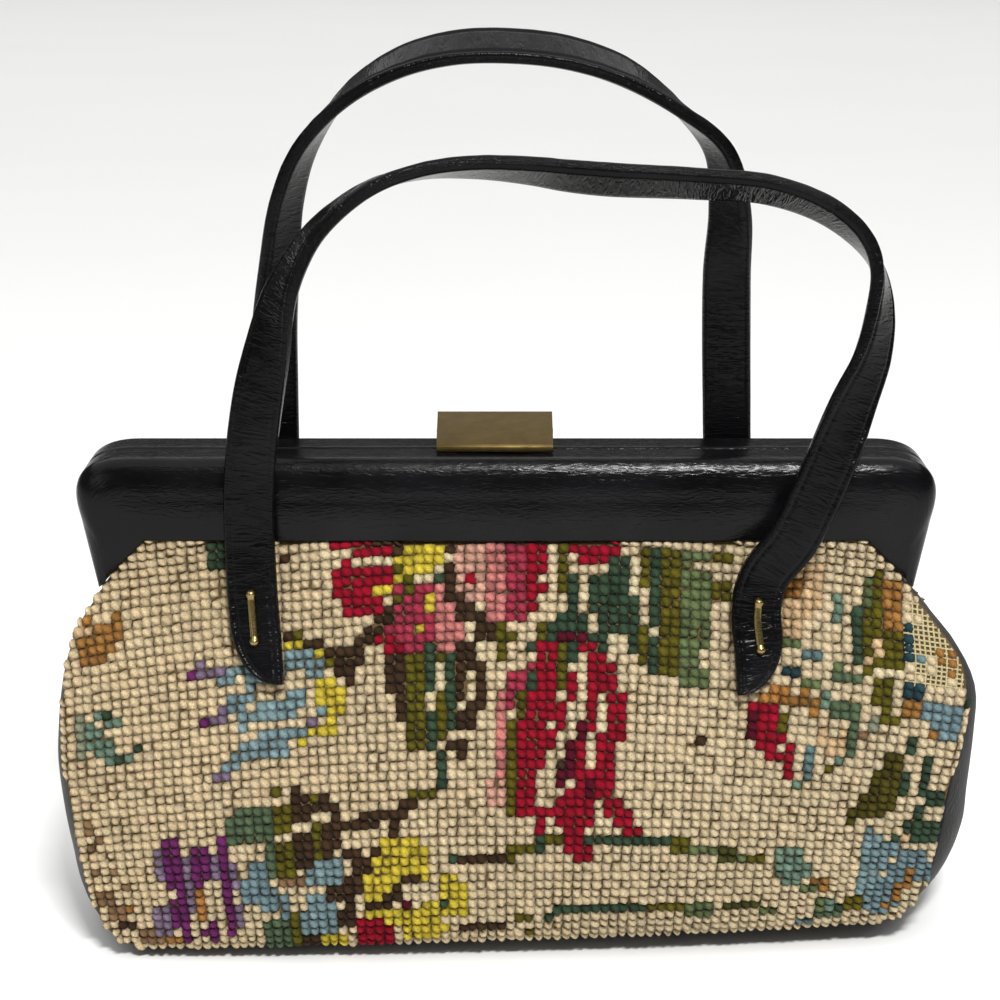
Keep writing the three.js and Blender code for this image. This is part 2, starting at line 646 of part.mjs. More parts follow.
// Lift plate of the clasp with a cheek at each end, pierced for the hinge pin
function claspLever() {
  let lever = solidOf(profileSolid(CLASP_PLATE, CLASP_WIDTH, CLASP_MIDDLE));
  for (const side of [-1, 1]) {
    const middle = CLASP_MIDDLE + side * (CLASP_WIDTH - CLASP_SHEET) / 2;
    lever = lever.add(solidOf(profileSolid(CLASP_CHEEK, CLASP_SHEET, middle)));
  }
  const hole = rodAlongX(CLASP_HOLE_RADIUS, CLASP_WIDTH + CLASP_HOLE_OVERRUN, CLASP_MIDDLE);
  return geometryOf(lever.subtract(solidOf(hole)));
}

// Foot of the clasp on the back half of the frame, with two lugs and the hinge pin
function claspBase() {
  let base = solidOf(boxOnFrame(CLASP_BASE));
  for (const side of [-1, 1]) {
    const middle = CLASP_MIDDLE + side * CLASP_LUG.offset;
    const lug = boxOnFrame({
      width: CLASP_LUG.width,
      front: CLASP_AXIS.y - CLASP_LUG.radius,
      back: CLASP_AXIS.y + CLASP_LUG.radius,
      bottom: CLASP_BASE.top - CLASP_LUG.sunk,
      top: CLASP_AXIS.z - FRAME_TOP,
    });
    lug.translate(middle - CLASP_MIDDLE, 0, 0);
    base = base.add(solidOf(lug)).add(solidOf(rodAlongX(CLASP_LUG.radius, CLASP_LUG.width, middle)));
  }
  const pin = rodAlongX(CLASP_PIN_RADIUS, CLASP_WIDTH + CLASP_PIN_OVERRUN, CLASP_MIDDLE);
  return geometryOf(base.add(solidOf(pin)));
}

const bag = new THREE.Group();

function addPiece(name, geometry, material) {
  const mesh = new THREE.Mesh(geometry, material);
  mesh.name = name;
  bag.add(mesh);
}

const panel = panelGeometry();
addPiece("back_panel", turnedBody(mirroredInDepth(panel)), WOOL);
addPiece("front_panel", turnedBody(panel), WOOL);
addPiece("gusset", turnedBody(gussetGeometry()), LEATHER);

const frameHalf = frameGeometry();
addPiece("frame_front", frameHalf, LEATHER);
addPiece("frame_back", mirroredInDepth(frameHalf), LEATHER);
addPiece("frame_link_left", linkGeometry(-1), BRASS);
addPiece("frame_link_right", linkGeometry(1), BRASS);

addPiece("handle_front", strapGeometry(FRONT_STRAP, -1), LEATHER);
addPiece("handle_back", strapGeometry(BACK_STRAP, 1), LEATHER);
addPiece("staple_front_left", stapleGeometry(FRONT_STRAP, -1, -1, STAPLE_SPAN.front_left), BRASS);
addPiece("staple_front_right", stapleGeometry(FRONT_STRAP, -1, 1, STAPLE_SPAN.front_right), BRASS);
addPiece("staple_back_left", stapleGeometry(BACK_STRAP, 1, -1, STAPLE_SPAN.back), BRASS);
addPiece("staple_back_right", stapleGeometry(BACK_STRAP, 1, 1, STAPLE_SPAN.back), BRASS);

addPiece("clasp_lever", claspLever(), BRASS);
addPiece("clasp_base", claspBase(), BRASS);
addPiece("clasp_catch", boxOnFrame(CLASP_CATCH), BRASS);

// Set the whole bag over the middle of its base
const bounds = new THREE.Box3().setFromObject(bag);
const middle = bounds.getCenter(new THREE.Vector3());
bag.children.forEach(({ geometry }) => geometry.translate(-middle.x, -middle.y, -bounds.min.z));

export default bag;
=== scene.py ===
# Looks of a frame handbag in needlepoint wool, black leather and dulled brass.
# Sizes are millimetres about the middle of the frame, as in the part; in_place() turns them to metres.

import math

import bmesh
import bpy
import numpy as np
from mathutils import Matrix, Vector


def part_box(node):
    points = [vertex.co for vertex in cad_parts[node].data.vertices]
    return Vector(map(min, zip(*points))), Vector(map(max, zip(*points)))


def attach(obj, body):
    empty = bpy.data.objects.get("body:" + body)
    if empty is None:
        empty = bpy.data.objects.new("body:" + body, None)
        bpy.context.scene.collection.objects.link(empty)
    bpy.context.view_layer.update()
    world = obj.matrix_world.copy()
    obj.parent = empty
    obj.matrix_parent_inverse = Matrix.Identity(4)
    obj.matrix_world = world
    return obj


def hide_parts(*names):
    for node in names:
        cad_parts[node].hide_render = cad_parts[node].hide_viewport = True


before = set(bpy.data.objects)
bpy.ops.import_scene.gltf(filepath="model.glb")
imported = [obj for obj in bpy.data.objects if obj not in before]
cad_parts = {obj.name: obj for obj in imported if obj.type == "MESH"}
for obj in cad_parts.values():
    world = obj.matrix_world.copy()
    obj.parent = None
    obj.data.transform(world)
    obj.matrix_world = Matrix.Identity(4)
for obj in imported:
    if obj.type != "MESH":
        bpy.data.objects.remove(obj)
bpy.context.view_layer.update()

MM = 0.001
FRONT, BACK = -1, 1
frame_low, frame_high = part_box("frame_front")
MIDDLE_X = (frame_low.x + frame_high.x) / 2 / MM

# Needlepoint panel by level: z, half width, depth of the side seam, depth of the middle
PANEL_LEVELS = np.array([
    (137.0, 117.7, 16.2, 17.2), (121.0, 132.2, 12.6, 24.0), (109.0, 141.4, 18.0, 29.0),
    (97.0, 147.2, 24.0, 33.6), (84.0, 148.4, 29.0, 38.0), (68.0, 146.8, 33.5, 42.4),
    (50.0, 143.8, 37.0, 46.2), (33.0, 140.8, 39.4, 48.2), (19.0, 137.6, 40.4, 48.0),
    (10.8, 133.2, 40.8, 46.6), (6.4, 126.4, 40.8, 44.6), (4.8, 114.0, 40.6, 42.4),
])
HALF, EDGE, CROWN = 1, 2, 3
PANEL_TOP, PANEL_BOTTOM = PANEL_LEVELS[0, 0], PANEL_LEVELS[-1, 0]
SLANT_LOW = PANEL_LEVELS[1, 0]
WIDEST = PANEL_LEVELS[4, HALF]
PANEL_WALL = 2.4
# How squarely a panel bulges from side to side
CROWN_POWER = 2.6
# Rise of the lower seam at the right and the body's turn away from it, and the levels below which they grow
SEAM_TILT, SEAM_TILT_TOP = 3.0, 80
BODY_TURN, BODY_TURN_TOP = 6.0, 100
# How the cloth curls back past the panel's edge
RIM_CURL = 0.25
# Steps that find the panel's slope and measure its middle line
NORMAL_STEP = 0.2
PROFILE_STEPS = 900
# How far both sides of the soft body lean to the right, by level
SIDE_LEAN = np.array([
    (121.0, 0.0), (109.0, 0.6), (97.0, 2.8), (85.0, 2.8), (72.0, 2.1), (58.0, 1.1), (40.0, 1.2),
    (25.0, 2.0), (12.0, 2.6), (4.8, 2.8),
])
SIDE_LEAN_POWER = 3

# Stitch grid: columns run down the panel from its middle, and rows across it from the frame, drooping
# to the sides. Pitch of the columns and droop of the rows go by level
ROW_PITCH = 3.2
STITCH_HALF = ROW_PITCH / 2
# Rows above the panel's middle top, which show only where they droop, are this share of a pitch apart
ROW_RISE_SHARE = 0.92
COLUMN_PITCH = ((4.8, 3.08), (70, 3.22), (137, 3.38))
ROW_DROOP = ((4.8, 0), (20, 3), (43, 8.5), (72, 13), (118, 16), (160, 17))
DROOP_COLUMN = 45
COLUMNS = range(-48, 48)
ROWS = range(-9, 43)
# How far stitches reach past the panel's edge at the sides and under the frame, and the least that are kept
EDGE_OVERHANG = {FRONT: 0.8, BACK: -1.2}
TOP_OVERHANG = 0.3
LEAST_HALF_SIZE = 0.6
# The canvas lies this deep under the panel's outside
CANVAS_DEPTH = 1.4
CANVAS_THICKNESS = 0.9
CANVAS_ROWS, CANVAS_COLUMNS = 72, 121

# One cross stitch: a low strand of wool pressed into its cell, and a round one over it along the other
# diagonal. Of each: which diagonal, how far along it it reaches, half its width, its height, and its tone: a
# painted shade that darkens the low strand where the upper one shades it
STRANDS = ((-1, 1.0, 1.4, 1.0, 0.66), (1, 0.82, 1.3, 1.95, 1.0))
STRAND_SECTION = ((1.16, 0.0), (0.74, 0.66), (0.0, 1.0), (-0.74, 0.66), (-1.16, 0.0))
FRONT_STATIONS = np.array((-1.0, -0.6, 0.0, 0.6, 1.0))
# The plain back has fewer corners to a stitch
BACK_SECTION = ((1.16, 0.0), (0.5, 0.9), (-0.5, 0.9), (-1.16, 0.0))
BACK_STATIONS = np.array((-1.0, -0.45, 0.45, 1.0))
# How full a strand stays towards its ends, in width and in height, and the least of each
TAPER_POWER, LEAST_TAPER = 2.6, 0.06
RISE_POWER, LEAST_RISE = 1.9, 0.004
# How much stitches differ: turn, place, size and height
STITCH_TURN = math.radians(11)
STITCH_SHIFT = 0.19
STITCH_GROWTH = 0.09
STITCH_LIFT = 0.1
# Threads of the bare canvas in the worn patch, two to a stitch
THREAD_SPACING = 0.5
THREAD_HALF, THREAD_LIFT, THREAD_WAVER = 0.36, 0.35, 0.06
THREAD_RINGS, THREAD_SIDES, LEAST_RINGS = 22, 6, 4

# Gusset: how far the band swells at the left and the right, by level
GUSSET_WALL = 1.6
GUSSET_TOP = 118.6
GUSSET_SWELL = np.array([
    (118.6, 0.2, -1.2), (110.0, 0.2, -1.0), (100.0, 2.2, 1.0), (84.0, 4.8, 7.6), (72.0, 6.8, 10.2),
    (60.0, 8.4, 12.8), (48.0, 9.4, 14.4), (36.0, 10.0, 15.6), (18.0, 11.0, 12.8), (6.0, 8.0, 8.0),
])
# Section of the band: its flat share and its bend at the sides, its bend and the slope of its edges at the
# base, and how suddenly the one turns into the other
SIDE_FLAT_SHARE = 0.22
SIDE_BEND, BASE_BEND = 2, 1.15
BASE_CURL_SLOPE = 0.3
BASE_POWER = 3
# How far a station must face down to be held above the floor, and to rest on it
LEAST_DOWN, RESTING_DOWN = 0.01, 0.9
# Stations along the seam crowd towards the bottom
ROW_CROWDING = 1.55
SEAM_SIDE_STEPS, SEAM_BOTTOM_STEPS, BAND_STEPS = 44, 76, 25

# Frame: its outline as x and z, its depth from the split, its rounded edges and its walls
GAP = 0.35
FRAME_TOP = 164.3
FRAME_SPLIT = 0.15
EAR_TIP = np.array((135.0, 119.6))
SIDE_TOP = np.array((140.2, 147.0))
CORNER_PULL = np.array((143.2, FRAME_TOP))
TOP_END = np.array((122.5, FRAME_TOP))
FACE_LOWER_EDGE = PANEL_TOP + GAP
EAR_DEPTH, FACE_DEPTH = 12.8, 17.2
EAR_ROUND, TOP_ROUND = 2.0, 6.5
EAR_WALL, FRAME_WALL = 1.5, 2.6
FACE_SWELL = 0.6
FACE_PADDING = 0.3
FACE_OVERHANG = 0.5
RIM_EASE = 1.6
FACE_ROUND = 13.0
LOWER_EDGE_GAP = GAP * 1.3
# Shares of the way up the slant: where the corner starts, and where the ear has its full section
CORNER_SHARE, FULL_SHARE = 5 / 11, 0.4
RIM_SIDE_STEPS, RIM_CORNER_STEPS, RIM_TOP_STEPS = 16, 20, 44
EASE_POINTS, TOP_POINTS, ROUND_POINTS, FACE_POINTS, ROLL_POINTS = 6, 8, 11, 15, 9
FRAME_SHARP = math.radians(50)

# Strap handles: x, distance from the split (None where the strap lies on the panel), z, roll in degrees
FRONT_STRAP = (
    (-79.9, None, 94.5, 5), (-80.9, None, 108.0, 5), (-82.2, 25.4, 122.0, 4), (-82.8, 22.6, 138.0, 2),
    (-82.4, 22.6, 155.0, 0), (-80.8, 22.6, 172.0, 2), (-78.1, 22.2, 188.5, 10), (-74.9, 21.5, 202.6, 30),
    (-70.9, 20.4, 218.5, 55), (-65.3, 19.2, 230.5, 72), (-57.5, 18.0, 241.2, 82), (-42.4, 16.6, 252.4, 93),
    (-26.7, 15.2, 257.4, 102), (-9.2, 14.0, 258.5, 112), (8.9, 13.3, 257.1, 119), (18.0, 13.0, 255.8, 125),
    (31.5, 13.0, 254.5, 128), (58.9, 13.0, 253.2, 124), (81.6, 13.2, 251.3, 121), (99.8, 14.0, 244.8, 116),
    (111.0, 15.0, 235.8, 105), (116.0, 16.5, 226.5, 79), (117.0, 18.5, 214.0, 55), (114.9, 21.0, 200.2, 39),
    (109.6, 23.4, 186.3, 20), (104.3, 25.0, 171.0, -2), (98.0, 25.4, 154.0, -4), (91.8, 25.2, 140.0, -2),
    (83.6, 25.2, 128.5, 2), (81.0, 27.2, 118.0, 3), (82.0, None, 105.0, 4), (82.6, None, 92.0, 5),
)
BACK_STRAP = (
    (-79.4, None, 94.0, 5), (-79.6, None, 108.0, 5), (-79.6, 25.4, 122.0, 4), (-79.4, 22.6, 138.0, 3),
    (-78.9, 23.4, 156.0, 8), (-78.6, 24.6, 178.0, 20), (-77.7, 25.0, 200.0, 34), (-75.2, 24.6, 221.0, 47),
    (-72.1, 23.5, 241.5, 61), (-65.7, 22.0, 259.0, 73), (-52.2, 20.5, 275.8, 95), (-35.6, 19.0, 286.4, 110),
    (-18.0, 18.0, 291.5, 117), (1.2, 17.5, 292.3, 118), (20.3, 18.0, 290.0, 116), (38.0, 19.0, 284.0, 110),
    (55.4, 20.5, 272.6, 90), (69.4, 22.0, 258.4, 67), (73.7, 23.5, 238.0, 43), (73.6, 24.6, 218.0, 26),
    (74.2, 25.0, 197.0, 16), (75.0, 24.6, 176.0, 10), (75.8, 23.4, 156.0, 6), (77.6, 22.6, 138.0, 3),
    (79.0, 25.4, 122.0, 4), (79.5, None, 108.0, 5), (79.6, None, 94.0, 5),
)
STRAP_WIDTH, STRAP_THICKNESS = 16.2, 4.4
# Width of a strap's rounded edge, and its drop for that width; how far a tab stands off the panel
STRAP_EDGE_ROUND, STRAP_EDGE_DROP = 1.5, 0.8
STRAP_LIFT = 0.75
STRAP_STEPS, KNOT_STEPS, ROLL_SMOOTHING = 460, 40, 25
STRAP_FACE_POINTS, STRAP_UNDER_POINTS = 35, 13
# Waves across a strap: length, height, lean and start
STRAP_WAVES = ((6.1, 0.035, 0.05, 0.3), (9.7, 0.05, -0.04, 1.9), (23.0, 0.07, 0.02, 4.1))
# The waves fade out over this width at the edges
WAVE_INSET = 2
TAB_TIP_LENGTH, TAB_TIP_WIDTH = 21, 1.6
EDGE_LINE_INSET, EDGE_LINE_WIDTH, EDGE_LINE_DEPTH = 2.3, 0.5, 0.5

# Staples: lowest and highest level of each
STAPLE_SPANS = {
    "staple_front_left": (105.8, 124.6), "staple_front_right": (103.2, 122.0),
    "staple_back_left": (107.0, 125.8), "staple_back_right": (107.0, 125.8),
}
STAPLE_WIDTH, STAPLE_HEIGHT, STAPLE_LIFT = 2.6, 1.3, 0.4
STAPLE_END_WIDTH = 3.3
STAPLE_SUNK = 0.1
STAPLE_SIDE_SHARE = 0.35
# The round end of a staple: its height for its width, its run in half widths and its least size
BEAD_HEIGHT, BEAD_RUN, LEAST_BEAD = 0.75, 1.7, 0.04
STAPLE_STEPS, ARCH_POINTS = 27, 11
# Sheet brass: node, piece, body and how far its edges are eased
SHEET_BRASS = (
    ("clasp_lever", "clasp_lift_plate", "clasp", 0.3), ("clasp_base", "clasp_foot", "bag", 0.2),
    ("clasp_catch", "clasp_stud", "bag", 0.25), ("frame_link_left", "frame_link_left_bar", "bag", 0.3),
    ("frame_link_right", "frame_link_right_bar", "bag", 0.3),
)
WELD = 1e-6
# Faces are joined up to the first angle, edges eased from the second and shaded sharp from the third
FLAT_ANGLE, EDGE_ANGLE, SHARP_ANGLE = math.radians(1), math.radians(25), math.radians(35)

# View, in millimetres
CAMERA_TARGET = (-2.0, -15.0, 151.0)
CAMERA_DISTANCE = 640
CAMERA_ELEVATION = math.radians(18)
CAMERA_LENS, CAMERA_SENSOR = 70.96, 36
# Floor, in metres: half its side, and its drop to keep it clear of the base
FLOOR_HALF, FLOOR_DROP = 14.0, 0.0004
# Area lights, in metres and watts: place, what it faces, width, height and power
LIGHTS = {
    "key": ((0.2, -0.8, 1.2), (0, 0, 0.12), 0.3, 0.09, 18.5),
    "fill": ((-0.9, -0.9, 0.6), (0, 0, 0.1), 0.5, 0.5, 1.2),
    "ceiling": ((0, 2.6, 4.5), (0, 2.6, 0), 11.0, 11.0, 500.0),
}
SKY_STRENGTH = 0.12

rng = np.random.default_rng(1957)


def in_place(points):
    """Millimetres about the middle of the frame, moved to the part's own place, in metres."""
    return (np.asarray(points, float) + (MIDDLE_X, 0, 0)) * MM


# Shape of the needlepoint panel

def hermite(start, end, start_slope, end_slope, t):
    """Cubic curve from start to end that leaves and arrives with those slopes."""
    return ((2 * t**3 - 3 * t**2 + 1) * start + (t**3 - 2 * t**2 + t) * start_slope
            + (3 * t**2 - 2 * t**3) * end + (t**3 - t**2) * end_slope)


def smooth_column(table, level, column):
    """A column of a table at any levels, on a smooth curve through its rows."""
    z, value = table[::-1, 0], table[::-1, column]
    slope = np.empty_like(value)
    slope[1:-1] = (value[2:] - value[:-2]) / (z[2:] - z[:-2])
    slope[0] = (value[1] - value[0]) / (z[1] - z[0])
    slope[-1] = (value[-1] - value[-2]) / (z[-1] - z[-2])
    level = np.clip(level, z[0], z[-1])
    i = np.clip(np.searchsorted(z, level, side="right") - 1, 0, len(z) - 2)
    step = z[i + 1] - z[i]
    return hermite(value[i], value[i + 1], slope[i] * step, slope[i + 1] * step, (level - z[i]) / step)


def panel_half(level):
    """Half width of the panel, straight along the slanted edge that meets the frame's ear."""
    top, low = PANEL_LEVELS[0, HALF], PANEL_LEVELS[1, HALF]
    slanted = low + (top - low) * (level - SLANT_LOW) / (PANEL_TOP - SLANT_LOW)
    return np.where(level >= SLANT_LOW, slanted, smooth_column(PANEL_LEVELS, level, HALF))


def panel_depth(x, level):
    """How far a panel's outside stands from the split; past its edge it curls back."""
    edge = smooth_column(PANEL_LEVELS, level, EDGE)
    crown = smooth_column(PANEL_LEVELS, level, CROWN)
    half = panel_half(level)
    swell = 1 - np.minimum(np.abs(x) / half, 1) ** CROWN_POWER
    past = np.maximum(np.abs(x) - half, 0)
    return edge + (crown - edge) * swell - RIM_CURL * past**2


def turned(points):
    """Points of the body, pushed back on the right and forward on the left, its sides leaning right."""
    share = np.maximum(0, 1 - points[..., 2] / BODY_TURN_TOP)
    lean = smooth_column(SIDE_LEAN, points[..., 2], 1)
    moved = points.copy()
    moved[..., 1] += BODY_TURN * points[..., 0] / WIDEST * share**2
    moved[..., 0] += lean * np.abs(points[..., 0] / WIDEST) ** SIDE_LEAN_POWER
    return moved


def panel_flat_point(x, level, facing):
    """Points on the outside of a panel before the body is turned."""
    tilt = SEAM_TILT * x / WIDEST * np.maximum(0, 1 - level / SEAM_TILT_TOP) ** 2
    return np.stack([x, facing * panel_depth(x, level), level + tilt], axis=-1)


def panel_point(x, level, facing, lift=0.0):
    """Points on the outside of a panel, or lifted off it by so many millimetres."""
    x, level = np.broadcast_arrays(np.asarray(x, float), np.asarray(level, float))
    step = NORMAL_STEP
    across = panel_flat_point(x + step, level, facing) - panel_flat_point(x - step, level, facing)
    high = np.minimum(level + step, PANEL_TOP + step)
    low = np.maximum(level - step, PANEL_BOTTOM)
    up = panel_flat_point(x, high, facing) - panel_flat_point(x, low, facing)
    normal = -facing * np.cross(across, up)
    normal /= np.linalg.norm(normal, axis=-1, keepdims=True)
    return turned(panel_flat_point(x, level, facing) + normal * np.asarray(lift)[..., None])


# The middle of the panel from the frame down, and how far along its curve each level lies
PROFILE_LEVELS = np.linspace(PANEL_TOP, PANEL_BOTTOM, PROFILE_STEPS)
PROFILE = np.stack([panel_depth(np.zeros(PROFILE_STEPS), PROFILE_LEVELS), PROFILE_LEVELS], axis=-1)
PROFILE_RUN = np.concatenate([[0], np.cumsum(np.linalg.norm(np.diff(PROFILE, axis=0), axis=1))])


def stitch_place(column, row, facing):
    """x and level of a place on the stitch grid, counted in stitches and held inside the panel's edge."""
    base = np.where(row < 0, PANEL_TOP - row * ROW_PITCH * ROW_RISE_SHARE,
                    np.interp(row * ROW_PITCH, PROFILE_RUN, PROFILE_LEVELS))
    pitch = np.interp(base, *zip(*COLUMN_PITCH))
    level = base - np.interp(base, *zip(*ROW_DROOP)) * (column / DROOP_COLUMN) ** 2
    level = np.minimum(level, PANEL_TOP + TOP_OVERHANG)
    limit = panel_half(level) + EDGE_OVERHANG[facing]
    return np.clip(column * pitch, -limit, limit), level


def grid_point(column, row, facing):
    """Points on a panel at places on the stitch grid."""
    return panel_point(*stitch_place(column, row, facing), facing)
